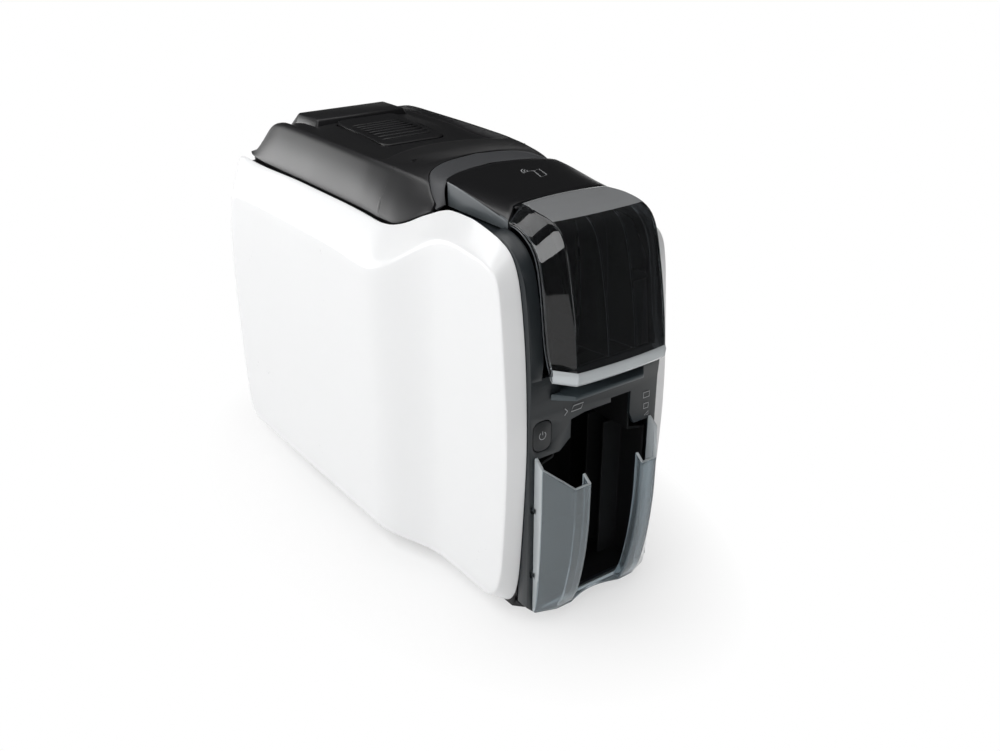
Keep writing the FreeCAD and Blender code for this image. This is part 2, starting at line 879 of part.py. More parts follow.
def bush(side, y, z):
    """Snap-in bush with a six-sided body, which can't turn in its plate, and a round bore."""
    outer = hexagon(bush_radius, plate_inner_x - bush_flange, plate_inner_x + plate_wall, y, z)
    flange = hexagon(bush_flange_radius, plate_inner_x - bush_flange, plate_inner_x, y, z)
    bore = rod(journal_radius + running_gap, plate_inner_x - overrun, plate_inner_x + overrun, y, z)
    ring = outer.fuse(flange).removeSplitter().cut(bore)
    return ring if side > 0 else mirrored(ring)


def shaft_bushes():
    rings = []
    for y, z in bushed_places():
        rings += [bush(1, y, z), bush(-1, y, z)]
    rings.append(bush(1, takeup_y, spool_z))
    rings.append(bush(-1, platen_y, motor_z()))
    return Part.makeCompound(rings)


def gear_start_x():
    return plate_inner_x + plate_wall + gear_offset


def gear_end_x():
    return gear_start_x() + gear_width


def idler_studs():
    """Studs riveted to the left plate, each with a six-sided shoulder and head."""
    studs = []
    for y, z in idler_places():
        shoulder_x = plate_inner_x + plate_wall
        head_x = gear_end_x() + seat_gap
        core = rod(stud_radius, shoulder_x, head_x, y, z)
        shoulder = hexagon(stud_head_radius, shoulder_x, gear_start_x() - seat_gap, y, z)
        head = hexagon(stud_head_radius, head_x, head_x + stud_head, y, z)
        studs.append(mirrored(joined([core, shoulder, head])))
    return Part.makeCompound(studs)


# Gears and rollers

def gear(teeth, start_x, end_x, y, z, phase):
    """Spur gear blank along x; phase is the angle of one tooth from +y, in tooth pitches."""
    pitch = 2 * math.pi / teeth
    outer = pitch_radius(teeth) + gear_module * tooth_top_share
    root = pitch_radius(teeth) - gear_module * tooth_root_share
    half_angle_shares = ((-root_half_share, root), (-tip_half_share, outer), (tip_half_share, outer),
                         (root_half_share, root))
    points = []
    for index in range(teeth):
        for share, radius in half_angle_shares:
            angle = pitch * (index + phase + share)
            points.append((y + radius * math.cos(angle), z + radius * math.sin(angle)))
    return side_prism(points, start_x, end_x)


def left_gear(teeth, y, z, phase, bore, form=rod):
    """Gear beside the left plate, bored round for a stud or six-sided for a shaft's end."""
    blank = gear(teeth, -gear_end_x(), -gear_start_x(), y, z, phase)
    return blank.cut(form(bore, -gear_end_x() - overrun, overrun - gear_start_x(), y, z))


def roller(radius, half_length, y, z, geared):
    """Roller on its shaft; a geared one has a six-sided end on the left for its gear."""
    end_x = plate_inner_x + plate_wall + seat_gap
    pieces = [rod(radius, -half_length, half_length, y, z), rod(journal_radius, -end_x, end_x, y, z)]
    if geared:
        pieces.append(hexagon(journal_radius, -gear_end_x(), -end_x + seat_gap, y, z))
    return joined(pieces)


def build_rollers():
    names = ("feed_roller", "front_transport_roller", "platen_roller", "rear_transport_roller")
    lengths = (feed_half_length, roller_half_length, roller_half_length, roller_half_length)
    for name, half_length, y in zip(names, lengths, shaft_places()):
        save(roller(roller_radius, half_length, y, roller_z(), True), name)
        wheel = left_gear(roller_teeth, y, roller_z(), 0, journal_radius + running_gap, hexagon)
        save(wheel, name.replace("roller", "gear"))
    free = (("cleaning_roller", cleaning_radius, cleaning_y(), cleaning_z()),
            ("front_pinch_roller", pinch_radius, front_transport_y(), pinch_z()),
            ("rear_pinch_roller", pinch_radius, rear_transport_y(), pinch_z()))
    for name, radius, y, z in free:
        save(roller(radius, roller_half_length, y, z, False), name)


def build_idlers():
    names = ("feed_idler", "front_idler", "rear_idler", "reduction_idler")
    counts = (feed_idler_teeth, idler_teeth, idler_teeth, idler_teeth)
    for name, teeth, (y, z) in zip(names, counts, idler_places()):
        save(left_gear(teeth, y, z, half_pitch_share, stud_radius + running_gap), name)
    pinion = gear(pinion_teeth, -gear_end_x(), -gear_start_x(), platen_y, motor_z(), half_pitch_share)
    shaft = rod(journal_radius, -gear_start_x(), motor_shaft_depth - plate_inner_x, platen_y, motor_z())
    save(joined([pinion, shaft]), "motor_pinion")


# Motors

def drive_motor():
    start = -plate_inner_x + bush_flange + seat_gap
    end = start + motor_length
    z = motor_z()
    body = box((start + motor_flange, platen_y - motor_half, z - motor_half),
               (end, platen_y + motor_half, z + motor_half))
    long_edges = [e for e in body.Edges if abs(e.Vertexes[0].X - e.Vertexes[-1].X) > motor_flange]
    body = body.makeChamfer(motor_corner, long_edges)
    flange = box((start, platen_y - motor_half, z - motor_half),
                 (start + motor_flange, platen_y + motor_half, z + motor_half))
    long_edges = [e for e in flange.Edges if abs(e.Vertexes[0].X - e.Vertexes[-1].X) > motor_flange / 2]
    flange = flange.makeFillet(motor_corner, long_edges)
    bore = rod(journal_radius + running_gap, start - overrun, -plate_inner_x + motor_shaft_depth + seat_gap,
               platen_y, z)
    return joined([body, flange]).cut(bore)


def ribbon_motor_start_x():
    return gear_end_x() + seam_gap


def ribbon_motor_middle_x():
    return (ribbon_motor_start_x() + ribbon_motor_end_x()) / 2


def ribbon_motor_end_x():
    return rear_half_width - ribbon_motor_end_gap


def ribbon_motor():
    pinion_y, pinion_z = ribbon_pinion_place()
    start = ribbon_motor_start_x()
    body = rod(ribbon_motor_radius, start, ribbon_motor_end_x(), pinion_y, pinion_z)
    low_z = pinion_z - ribbon_motor_radius
    bracket = box((plate_inner_x + plate_wall + ribbon_bracket_step, pinion_y - ribbon_motor_radius,
                   low_z - ribbon_bracket_wall),
                  (ribbon_motor_middle_x(), pinion_y + ribbon_motor_radius, low_z + ribbon_bracket_wall / 2))
    bore = rod(stud_radius + running_gap, start - overrun, ribbon_motor_middle_x(), pinion_y, pinion_z)
    return joined([body, bracket]).cut(bore)


def ribbon_pinion():
    pinion_y, pinion_z = ribbon_pinion_place()
    wheel = gear(ribbon_pinion_teeth, gear_start_x(), gear_end_x(), pinion_y, pinion_z, half_pitch_share)
    shaft = rod(stud_radius, gear_end_x(), ribbon_motor_middle_x() - seam_gap, pinion_y, pinion_z)
    return joined([wheel, shaft])


# Ribbon spools

def spool(y, roll_radius):
    """Ribbon spool: two flanges on a core, with the ribbon wound between them."""
    roll_end = spool_half_length - spool_flange
    roll = rod(roll_radius, -roll_end, roll_end, y, spool_z)
    right = rod(spool_flange_radius, roll_end, spool_half_length, y, spool_z)
    body = joined([roll, right, mirrored(right)])
    bore_end = spool_half_length + overrun
    return body.cut(rod(spool_core_bore, -bore_end, bore_end, y, spool_z))


def takeup_hub():
    """Driven hub, with its gear outside the right plate."""
    y = takeup_y
    hub_end = plate_inner_x - bush_flange - seat_gap
    hub = rod(hub_radius, spool_half_length - hub_reach, hub_end, y, spool_z)
    journal = rod(journal_radius, hub_end, gear_start_x(), y, spool_z)
    wheel = gear(ribbon_gear_teeth, gear_start_x(), gear_end_x(), y, spool_z, half_pitch_share)
    return joined([hub, journal, wheel])


def spool_holders():
    """Fixed hubs on which the free spool ends turn."""
    holders = []
    seat_x = plate_inner_x - seat_gap
    for y, side in ((takeup_y, -1), (supply_y, -1), (supply_y, 1)):
        hub = rod(hub_radius, spool_half_length - hub_reach, seat_x, y, spool_z)
        shoulder = hexagon(hub_shoulder_radius, spool_half_length + seam_gap, seat_x, y, spool_z)
        holder = joined([hub, shoulder])
        holders.append(holder if side > 0 else mirrored(holder))
    return Part.makeCompound(holders)


# Card path

def card_path_plate():
    top = path_z - path_plate_drop
    front_y = hopper_rear_y() + seam_gap
    plate = box((-path_half_width, front_y, top - path_plate_wall), (path_half_width, path_plate_rear_y, top))
    half_window = roller_radius + path_window_gap
    for y in (front_transport_y(), platen_y, rear_transport_y()):
        window = box((-roller_half_length - path_window_gap, y - half_window, top - overrun),
                     (roller_half_length + path_window_gap, y + half_window, top + overrun))
        plate = plate.cut(window)
    guides = []
    guide_x = card_half_width + path_guide_gap
    guide_start = cleaning_y() + cleaning_radius + path_window_gap
    for start, end in ((guide_start, front_transport_y() - half_window),
                       (rear_transport_y() + half_window, path_plate_rear_y)):
        guide = box((guide_x, start, top - path_plate_wall / 2),
                    (guide_x + path_plate_wall, end, path_z + path_guide_height))
        guides += [guide, mirrored(guide)]
    flange = box((path_half_width - path_plate_wall, front_y, top - path_flange),
                 (path_half_width, path_plate_rear_y, top))
    plate = joined([plate, flange, mirrored(flange)] + guides)
    for y, z in bushed_places():
        plate = plate.cut(hexagon(bush_flange_radius + path_window_gap, -plate_inner_x, plate_inner_x, y, z))
    return plate


# Input hopper and card weight

def input_hopper():
    low = hopper_floor_z - hopper_wall
    inner = card_half_width + hopper_side_gap
    outer = inner + hopper_wall
    front_low = vec(0, hopper_front_y, low)
    front_top = vec(0, hopper_top_front_y, hopper_top_z)
    mouth = curve([front_low, vec(0, hopper_mouth_y, hopper_flange_z), front_top])
    back = [vec(0, hopper_rear_y(), hopper_top_z), vec(0, hopper_rear_y(), low)]
    side = Part.Face(Part.Wire(mouth + curve([front_top] + back + [front_low], False)))
    side = side.extrude(vec(2 * outer, 0, 0))
    side.translate(vec(-outer, 0, 0))
    hollow = box((-inner, hopper_front_y - overrun, hopper_floor_z),
                 (inner, hopper_rear_y() - hopper_wall, hopper_top_z + overrun))
    bin_ = side.cut(hollow)
    roller_gap = box((-inner, feed_y() - roller_radius - path_window_gap, low - overrun),
                     (inner, feed_y() + roller_radius + path_window_gap, hopper_floor_z + overrun))
    exit_slot = box((-inner, hopper_rear_y() - hopper_wall - overrun, hopper_floor_z),
                    (inner, hopper_rear_y() + overrun, hopper_floor_z + card_exit_height))
    bin_ = bin_.cut(roller_gap).cut(exit_slot)
    slot_top = hopper_floor_z + weight_wall + weight_travel + weight_slot
    slot = box((-outer - overrun, weight_slot_y - weight_slot / 2, hopper_floor_z + weight_lift / 2),
               (outer + overrun, weight_slot_y + weight_slot / 2, slot_top))
    bin_ = bin_.cut(slot)
    flanges = []
    for start, end in ((hopper_mouth_y, weight_slot_y - weight_slot),
                       (weight_slot_y + weight_slot, hopper_rear_y())):
        flange = box((outer - hopper_wall / 2, start, hopper_flange_z),
                     (plate_inner_x - seat_gap, end, hopper_flange_z + hopper_wall))
        flanges += [flange, mirrored(flange)]
    return joined([bin_] + flanges)


def card_weight():
    half = card_half_width
    low = hopper_floor_z + weight_lift
    rear_y = hopper_rear_y() - weight_rear_gap
    plate = rounded_plan(half, weight_front_y, rear_y, low, low + weight_wall, weight_corner)
    ears = box((-half - weight_ear, weight_slot_y - weight_slot / 2 + seam_gap, low),
               (half + weight_ear, weight_slot_y + weight_slot / 2 - seam_gap, low + weight_wall))
    handle = box((-weight_handle / 2, weight_front_y + weight_handle, low + weight_wall / 2),
                 (weight_handle / 2, rear_y - weight_handle, low + weight_wall + weight_handle / 2))
    return joined([plate, ears, handle])


# Front bezel

def bezel_form(shift):
    """Side outline of the bezel as a face in the y-z plane, its front drawn back by shift."""
    front = [vec(0, y * half_depth + shift, z * overall_height - shift) for y, z in bezel_profile_shares]
    front[0] = vec(0, front[0].y - shift, front[0].z)
    low_z = bezel_low_z - shift * bezel_open_share
    face_y = bezel_face_y + shift
    back = [vec(0, y * half_depth, z * overall_height) for y, z in bezel_back_shares]
    edges = curve(front)
    face = [vec(0, face_y, front[-1].z - bezel_wall), vec(0, face_y, low_z), vec(0, back[0].y, low_z)]
    edges += curve(front[-1:] + face + back + front[:1], False)
    return Part.Face(Part.Wire(edges))


def front_bezel():
    outer = bezel_form(0).extrude(vec(2 * bezel_half_width, 0, 0))
    outer.translate(vec(-bezel_half_width, 0, 0))
    inner_half = bezel_half_width - bezel_side_wall
    cut_back = bezel_form(bezel_wall).extrude(vec(2 * inner_half, 0, 0))
    cut_back.translate(vec(-inner_half, 0, 0))
    shell = outer.cut(cut_back)
    front, back = bezel_face_y - overrun, bezel_face_y + overrun
    mouth = front_prism([(x * bezel_half_width, z * overall_height) for x, z in mouth_shares], front, back)
    door_half = door_half_width + door_side_gap
    door_hole = box((-door_half, -half_depth, door_opening_low_z), (door_half, door_pivot_y, overall_height))
    top_half = cover_half_width - cover_wall
    top_hole = box((-top_half, door_pivot_y - overrun, bezel_top_hole_z),
                   (top_half, bezel_rear_y + overrun, overall_height))
    slot = box((-slot_half_width, -half_depth, slot_low_z), (slot_half_width, back, slot_low_z + slot_height))
    hole = rounded_front(button_half_width + seam_gap, button_half_height + seam_gap, front, back)
    shell = shell.cut(mouth).cut(door_hole).cut(top_hole).cut(slot).cut(hole)
    far_x = bezel_half_width + overrun
    corner = front_prism([(bezel_half_width - bezel_corner, bezel_low_z), (far_x, bezel_low_z),
                          (far_x, bezel_low_z + bezel_corner + overrun)], -half_depth, bezel_rear_y)
    shell = shell.cut(corner).cut(mirrored(corner))
    for z_share in tab_z_shares:
        z = z_share * overall_height
        hole_half = tab_width / 2 + seat_gap
        tab_hole = box((guard_outer_x - guard_wall - tab_width / 2, front, z - hole_half),
                       (guard_outer_x + tab_width / 2, back, z + hole_half))
        shell = shell.cut(tab_hole).cut(mirrored(tab_hole))
    posts = []
    post_rear_y = switch_board_y() - seat_gap / 2
    for z in (button_z - button_post_gap, button_z + button_post_gap):
        posts.append(box((-plate_inner_x + seat_gap, bezel_face_y + bezel_wall / 2, z - button_post),
                         (-plate_inner_x + button_post_length, post_rear_y, z + button_post)))
    return joined([shell] + posts)


def rounded_front(half_width, half_height, start_y, end_y):
    """Block of the button's outline with its long edges rounded."""
    block = button_block(half_width, half_height, start_y, end_y)
    deep = [e for e in block.Edges if abs(e.Vertexes[0].Y - e.Vertexes[-1].Y) > button_proud]
    return block.makeFillet(button_corner, deep)


def switch_board_y():
    return bezel_face_y + bezel_wall + button_stem + button_travel + switch_depth


def button_block(half_width, half_height, start_y, end_y):
    """Plain block behind the button's face."""
    return box((button_x - half_width, start_y, button_z - half_height),
               (button_x + half_width, end_y, button_z + half_height))


def power_button():
    cap_end = bezel_face_y + bezel_wall + seat_gap
    stem_end = switch_board_y() - switch_depth - button_travel - seat_gap
    cap = rounded_front(button_half_width, button_half_height, bezel_face_y - button_proud, cap_end)
    collar = button_block(button_half_width + button_collar, button_half_height + button_collar,
                          cap_end, cap_end + button_wall)
    stem = button_block(button_stem_half, button_stem_half, cap_end, stem_end)
    return joined([cap, collar, stem])


def button_board():
    y = switch_board_y()
    board = box((-plate_inner_x + seam_gap, y, button_z - button_board_half_height),
                (button_x + button_board_reach, y + board_wall, button_z + button_board_half_height))
    switch = button_block(switch_size / 2, switch_size / 2, y - switch_depth, y)
    return joined([board, switch])


def manual_feed_lip():
    """Tapered shelf under the manual feed slot, with a scooped top."""
    rear_y = bezel_profile_shares[-2][0] * half_depth - seam_gap
    front_y = rear_y - lip_reach
    plan = [(-lip_half_width, rear_y), (-lip_front_half_width, front_y),
            (lip_front_half_width, front_y), (lip_half_width, rear_y)]
    shelf = plan_prism(plan, lip_z, lip_z + lip_wall)
    rear_end, front_end = rear_y + overrun, front_y - overrun
    taper = side_prism([(rear_end, lip_z - overrun), (front_end, lip_z - overrun),
                        (front_end, lip_z + lip_wall / 2), (rear_end, lip_z + seat_gap)],
                       -lip_half_width, lip_half_width)
    shelf = shelf.cut(taper)
    tongue = box((seam_gap - slot_half_width, rear_y - seam_gap, slot_low_z + seat_gap),
                 (slot_half_width - seam_gap, bezel_face_y + bezel_wall + lip_tongue, lip_z + lip_wall))
    return joined([shelf, tongue])


# Front top cover

def cover_section(y, inset):
    run_share = (cover_rear_y - y) / (cover_rear_y - cover_front_y)
    edge_share = cover_edge_rear_share + run_share * (cover_edge_front_share - cover_edge_rear_share)
    edge_z = edge_share * overall_height - inset
    crown_share = cover_crown_rear_share + run_share * (cover_crown_front_share - cover_crown_rear_share)
    crown_z = crown_share * overall_height - inset
    half = cover_half_width - inset
    shoulder = cover_top_half_width - inset
    low_z = cover_low_z - overrun * min(inset, 1)
    shoulder_z = edge_z + (crown_z - edge_z) * cover_shoulder_share
    right = [vec(half, y, low_z), vec(half, y, edge_z), vec(shoulder, y, shoulder_z)]
    left = [mirror_point(p) for p in right[::-1]]
    top = Part.Arc(right[-1], vec(0, y, crown_z), left[0]).toShape()
    return Part.Wire([top] + curve(left + right, False))


def cover_form(inset):
    rear = cover_section(cover_rear_y - inset, inset)
    front = cover_section(cover_corner_y - inset * cover_open_share, inset)
    return Part.makeLoft([rear, front], True, True)


def front_cut_plan(gap):
    """Plan of the door's top edge, which the cover ends against."""
    far_x = cover_half_width + overrun
    right = [(cover_corner_x, cover_front_y + gap), (cover_half_width, cover_corner_y + gap),
             (far_x, cover_corner_y), (far_x, cover_corner_y - overrun * 2)]
    return right + [(-x, y) for x, y in reversed(right)]


def front_top_cover():
    shell = cover_form(0).cut(cover_form(cover_wall))
    shell = shell.cut(plan_prism(front_cut_plan(0), cover_low_z - overrun, overall_height))
    shell = shell.cut(plan_prism(arch_inner_plan(seam_gap), 0, overall_height))
    lug_low = (pin_lug_start_x, door_pivot_y - door_knuckle_radius, door_pivot_z - door_knuckle_radius)
    lug_high = (pin_lug_start_x + pin_lug_width, cover_front_y + overrun,
                door_pivot_z + door_knuckle_radius / 2)
    lug = box(lug_low, lug_high)
    lug = lug.common(cover_form(cover_lug_inset))
    shell = joined([shell, lug, mirrored(lug)])
    bore = rod(door_pin_radius, -cover_half_width, cover_half_width, door_pivot_y, door_pivot_z)
    return shell.cut(bore)


# Hopper door

def arc_path(points):
    """A straight run, arcs through each three points, and a last straight run."""
    edges = [Part.makeLine(points[0], points[1])]
    for start in range(1, len(points) - 3, 2):
        edges.append(Part.Arc(*points[start:start + 3]).toShape())
    return edges + [Part.makeLine(points[-2], points[-1])]


def door_outline(x, front_shares, lip_shares, push):
    """Outline of the door at one width, in the y-z plane, its front pushed forward at the crown."""
    front = [p - vec(0, push, 0) for p in at_shares(front_shares, x)]
    lip = [p - vec(0, push, 0) for p in at_shares(lip_shares, x)]
    back = at_shares(door_back_shares, x)
    return Part.Wire(arc_path(front) + curve([front[-1]] + lip + back + front[:1], False))


def door_hollow_outline(x, front_shares, push):
    """Outline of the space behind the door's wall, open to the rear."""
    front = [p + vec(0, door_wall - push, -door_wall) for p in at_shares(front_shares, x)]
    front[0] += vec(0, overrun, 0)
    front[-1] = vec(x, front[-1].y, front_shares[-1][1] * overall_height)
    rear_low = vec(x, front[0].y, front[-1].z)
    return Part.makePolygon(front + [rear_low, front[0]])


def door_fin(x):
    """Fin inside the door that keeps the cards back, from the door's wall to its free edge."""
    wall = at_shares(door_front_shares, x - fin_wall / 2)
    inner = [p + vec(0, door_wall / 2, -door_wall / 2) for p in wall[1:]]
    edge = at_shares(fin_edge_shares, x - fin_wall / 2)
    corners = inner + [edge[-1]] + edge[-2::-1]
    return Part.Face(Part.makePolygon(corners + corners[:1])).extrude(vec(fin_wall, 0, 0))


def hopper_door():
    places = ((door_half_width, door_side_shares, door_side_lip_shares, 0),
              (door_face_half_width, door_front_shares, door_lip_shares, 0),
              (0, door_front_shares, door_lip_shares, door_crown))
    outer, hollow = [], []
    inner_share = (door_half_width - door_wall) / door_half_width
    for x, front_shares, lip_shares, push in places:
        outer.append(door_outline(x, front_shares, lip_shares, push))
        hollow.append(door_hollow_outline(x * inner_share, front_shares, push))
    forms = []
    for wires in (outer, hollow):
        forms.append(Part.makeLoft([mirrored(w) for w in wires[:2]] + wires[::-1], True, True))
    shell = forms[0].cut(forms[1])
    half = door_face_half_width
    knuckle = rod(door_knuckle_radius, -half, half, door_pivot_y, door_pivot_z)
    top = at_shares(door_front_shares, 0)[0]
    web = box((-half, top.y - door_web_run, top.z - door_wall),
              (half, door_pivot_y, door_pivot_z + door_knuckle_radius))
    shell = joined([shell, knuckle, web, door_fin(fin_x), door_fin(-fin_x)])
    bore_start = pin_lug_start_x - door_pin_reach - seat_gap
    bore = rod(door_pin_radius + running_gap, bore_start, half + overrun, door_pivot_y, door_pivot_z)
    return shell.cut(bore).cut(mirrored(bore))


# Output bin and guard

def bin_section(wall):
    half = bin_half_width - wall
    upper = card_half_width + bin_neck_gap - wall
    low = bin_floor_z + wall
    shoulder = bin_shoulder_z - wall
    right = [(upper, bin_roof_z - wall), (upper, shoulder + bin_neck_gap), (half, shoulder), (half, low)]
    return right + [(-x, z) for x, z in reversed(right)]


def output_bin():
    start_y = bezel_face_y + bezel_wall + seat_gap
    shell = front_prism(bin_section(0), start_y, bin_rear_y)
    shell = shell.cut(front_prism(bin_section(bin_wall), start_y - overrun, bin_rear_y - bin_wall))
    window_half = card_half_width + bin_wall / 2
    window = box((-window_half, bin_rear_y - overrun, bin_window_low_z),
                 (window_half, bin_rear_y + overrun, bin_window_high_z))
    shell = shell.cut(window)
    ribs = []
    for y in (start_y + bin_rib_setback, (start_y + bin_rear_y) / 2):
        rib = box((card_half_width + bin_side_gap, y, bin_floor_z + bin_wall / 2),
                  (bin_half_width - bin_wall / 2, y + bin_wall, bin_shoulder_z - bin_wall))
        ribs += [rib, mirrored(rib)]
    return joined([shell] + ribs)


def guard_section(z, front_y):
    """J-shaped plan of one wing, wall outside, front wall and inward return."""
    wall = guard_wall
    slope_y = guard_rear_y + (front_y - guard_rear_y) * guard_knee_share
    outer = [(guard_outer_x, guard_rear_y), (guard_outer_x, slope_y), (guard_corner_x, front_y),
             (guard_inner_x, front_y), (guard_inner_x, front_y + guard_return)]
    inner = [(guard_inner_x + wall, front_y + guard_return), (guard_inner_x + wall, front_y + wall),
             (guard_corner_x - wall / 2, front_y + wall), (guard_outer_x - wall, slope_y + wall / 2),
             (guard_outer_x - wall, guard_rear_y)]
    corners = [vec(x, y, z) for x, y in outer + inner]
    return Part.makePolygon(corners + corners[:1])


def guard_wing():
    sections = []
    for z_share, front_share in zip(guard_z_shares, guard_front_shares):
        sections.append(guard_section(z_share * overall_height, front_share * half_depth))
    wing = Part.makeLoft(sections, True, True)
    rear_end, front_end = guard_rear_y + overrun, -half_depth - overrun
    above = side_prism([(rear_end, guard_top_rear_z), (front_end, guard_top_front_z - overrun),
                        (front_end, overall_height), (rear_end, overall_height)], 0, rear_half_width)
    wing = wing.cut(above)
    tabs = []
    for z_share in tab_z_shares:
        z = z_share * overall_height
        tabs.append(box((bin_half_width + seat_gap, guard_rear_y - guard_wall, z - tab_width / 2),
                        (guard_outer_x, guard_rear_y + tab_length, z + tab_width / 2)))
    return joined([wing] + tabs)


def output_guard():
    """Two wings joined by a floor lip with a hollowed front edge."""
    wing = guard_wing()
    low_z = guard_z_shares[0] * overall_height - guard_wall / 2
    front_y = guard_front_shares[0] * half_depth
    knee_y = guard_rear_y + (front_y - guard_rear_y) * guard_knee_share
    left = [vec(-guard_inner_x, front_y, low_z), vec(-guard_corner_x, front_y, low_z),
            vec(-guard_outer_x, knee_y, low_z), vec(-guard_outer_x, guard_rear_y, low_z)]
    right = [mirror_point(p) for p in left[::-1]]
    dip = vec(0, front_y + guard_floor_dip, low_z)
    edges = curve(left + right, False) + [Part.Arc(right[-1], dip, left[0]).toShape()]
    floor = Part.Face(Part.Wire(edges)).extrude(vec(0, 0, guard_wall))
    return joined([wing, mirrored(wing), floor])


# Rear panel, sockets and main board

def socket_low_z():
    return board_z + board_wall + seat_gap


def rear_panel():
    rim_y = rear_face_y - rear_wall - rear_rim
    panel = box((-rear_half, rim_y, rear_low_z), (rear_half, rear_face_y, rear_high_z))
    inner = rear_half - rear_wall
    panel = panel.cut(box((-inner, rim_y - overrun, rear_low_z + rear_wall),
                          (inner, rear_face_y - rear_wall, rear_high_z - rear_wall)))
    low, through = rear_face_y - rear_wall - overrun, rear_face_y + overrun
    notch_half = plate_inner_x + plate_wall + seam_gap
    panel = panel.cut(box((-notch_half, low, hinge_z - hinge_ear_radius - lid_stop_clearance),
                          (notch_half, through, rear_high_z + overrun)))
    for index in range(vent_count):
        z = vent_low_z + index * vent_pitch
        panel = panel.cut(box((-vent_length / 2, low, z), (vent_length / 2, through, z + vent_height)))
    gap = seam_gap / 2
    for x, width, height in ((inlet_x, inlet_size, inlet_size), (usb_x, usb_width, usb_height),
                             (network_x, network_width, network_height)):
        panel = panel.cut(box((x - width / 2 - gap, low, socket_low_z() - gap),
                              (x + width / 2 + gap, through, socket_low_z() + height + gap)))
    panel = panel.cut(box((lock_x - lock_width / 2, low, socket_low_z()),
                          (lock_x + lock_width / 2, through, socket_low_z() + lock_height)))
    for x in (-screw_x, screw_x):
        for z in (screw_low_z, screw_high_z):
            panel = panel.cut(front_prism(six_corners(screw_radius + running_gap, x, z), low, through))
    return panel


def socket(x, width, height, depth):
    low = socket_low_z()
    half = width / 2
    body = box((x - half, rear_face_y - depth, low), (x + half, rear_face_y - seam_gap, low + height))
    inner = half - socket_wall
    hollow = box((x - inner, rear_face_y - socket_deep, low + socket_wall),
                 (x + inner, rear_face_y + overrun, low + height - socket_wall))
    return body, hollow


def power_inlet():
    body = socket(inlet_x, inlet_size, inlet_size, inlet_depth)[0]
    middle = vec(inlet_x, rear_face_y - socket_deep, socket_low_z() + inlet_size / 2)
    bore = Part.makeCylinder(inlet_bore_radius, socket_deep + overrun, middle, vec(0, 1, 0))
    return body.cut(bore)


def usb_socket():
    body, hollow = socket(usb_x, usb_width, usb_height, usb_depth)
    tongue_z = socket_low_z() + usb_height - socket_wall * 2
    tongue = box((usb_x - usb_width / 4, rear_face_y - usb_depth + socket_wall, tongue_z),
                 (usb_x + usb_width / 4, rear_face_y - socket_wall, tongue_z + usb_tongue_wall))
    return joined([body.cut(hollow), tongue])


def network_socket():
    body, hollow = socket(network_x, network_width, network_height, network_depth)
    return body.cut(hollow)


def main_board():
    board = box((-board_half_width, board_front_y, board_z),
                (board_half_width, board_rear_y, board_z + board_wall))
    chips = []
    for x, y in ((-board_half_width / 2, board_front_y + chip_size),
                 (board_half_width / 3, board_front_y + chip_size * 2)):
        chips.append(box((x, y, board_z + board_wall / 2),
                         (x + chip_size, y + chip_size, board_z + board_wall + chip_height)))
    pillars = []
    for x in (-board_half_width + board_post_radius, board_half_width - board_post_radius):
        for y in (board_front_y + board_post_radius, board_rear_y - board_post_radius):
            low_z = floor_gap + tray_floor + seat_gap
            pillars.append(plan_prism(six_corners(board_post_radius, x, y), low_z, board_z + board_wall / 2))
    return joined([board] + chips + pillars)


# Lid

def lid_section(index, inset):
    """Cross section of the lid at one station, drawn in by inset on every side but the open base."""
    y = lid_y_shares[index] * half_depth
    if index == 0:
        y -= inset * 2
    base_x = lid_base_shares[index] * plan_half_width(y) - inset
    base_z = lid_base_z_shares[index] * overall_height - overrun * min(inset, 1)
    crest_x = lid_crest_shares[index] * plan_half_width(y) - inset
    crest_z = max(lid_crest_z_shares[index] * overall_height - inset, base_z + seat_gap)
    middle_z = max(lid_middle_z_shares[index] * overall_height - inset, base_z + seat_gap)
    edge_z = middle_z if middle_z < crest_z else (crest_z + middle_z) / 2
    edge_x = crest_x - crest_ridge
    flank_x = (base_x + crest_x) / 2 + flank_bow
    flank_z = (base_z + crest_z) / 2 + flank_bow
    base, crest, edge = vec(base_x, y, base_z), vec(crest_x, y, crest_z), vec(edge_x, y, edge_z)
    flank = vec(flank_x, y, flank_z)
    if abs(middle_z - edge_z) < seat_gap:
        top = Part.makeLine(edge, mirror_point(edge))
    else:
        top = Part.Arc(edge, vec(0, y, middle_z), mirror_point(edge)).toShape()
    right = [Part.Arc(base, flank, crest).toShape(), Part.makeLine(crest, edge)]
    left = [mirrored(edge) for edge in right[::-1]]
    return Part.Wire(right + [top] + left + [Part.makeLine(mirror_point(base), base)])


def mirror_point(point):
    return vec(-point.x, point.y, point.z)


def lid_form(inset):
    stations = range(len(lid_y_shares))
    return Part.makeLoft([lid_section(index, inset) for index in stations], True, True)


def lid_block(inset):
    """Raised block behind the latch button, with sloping sides."""
    foot_z = deck_z - block_slope - inset
    top_z = overall_height - inset
    slope = block_slope / 2
    profile = [(block_front_y + inset - slope, foot_z), (block_front_y + inset, top_z),
               (block_rear_y - inset, top_z), (block_rear_y + block_run - inset, foot_z)]
    half = block_half_width - inset
    length = side_prism(profile, -half, half)
    right = [(half - block_slope, top_z), (half, deck_z - inset), (half, foot_z)]
    width = front_prism(right + [(-x, z) for x, z in reversed(right)],
                        block_front_y - block_run, block_rear_y + block_run)
    return length.common(width)


def arch_place(shares):
    """Place given as shares of the half width there, the half depth and the height."""
    x_share, y_share, z_share = shares
    y = y_share * half_depth
    return vec(x_share * plan_half_width(y), y, z_share * overall_height)


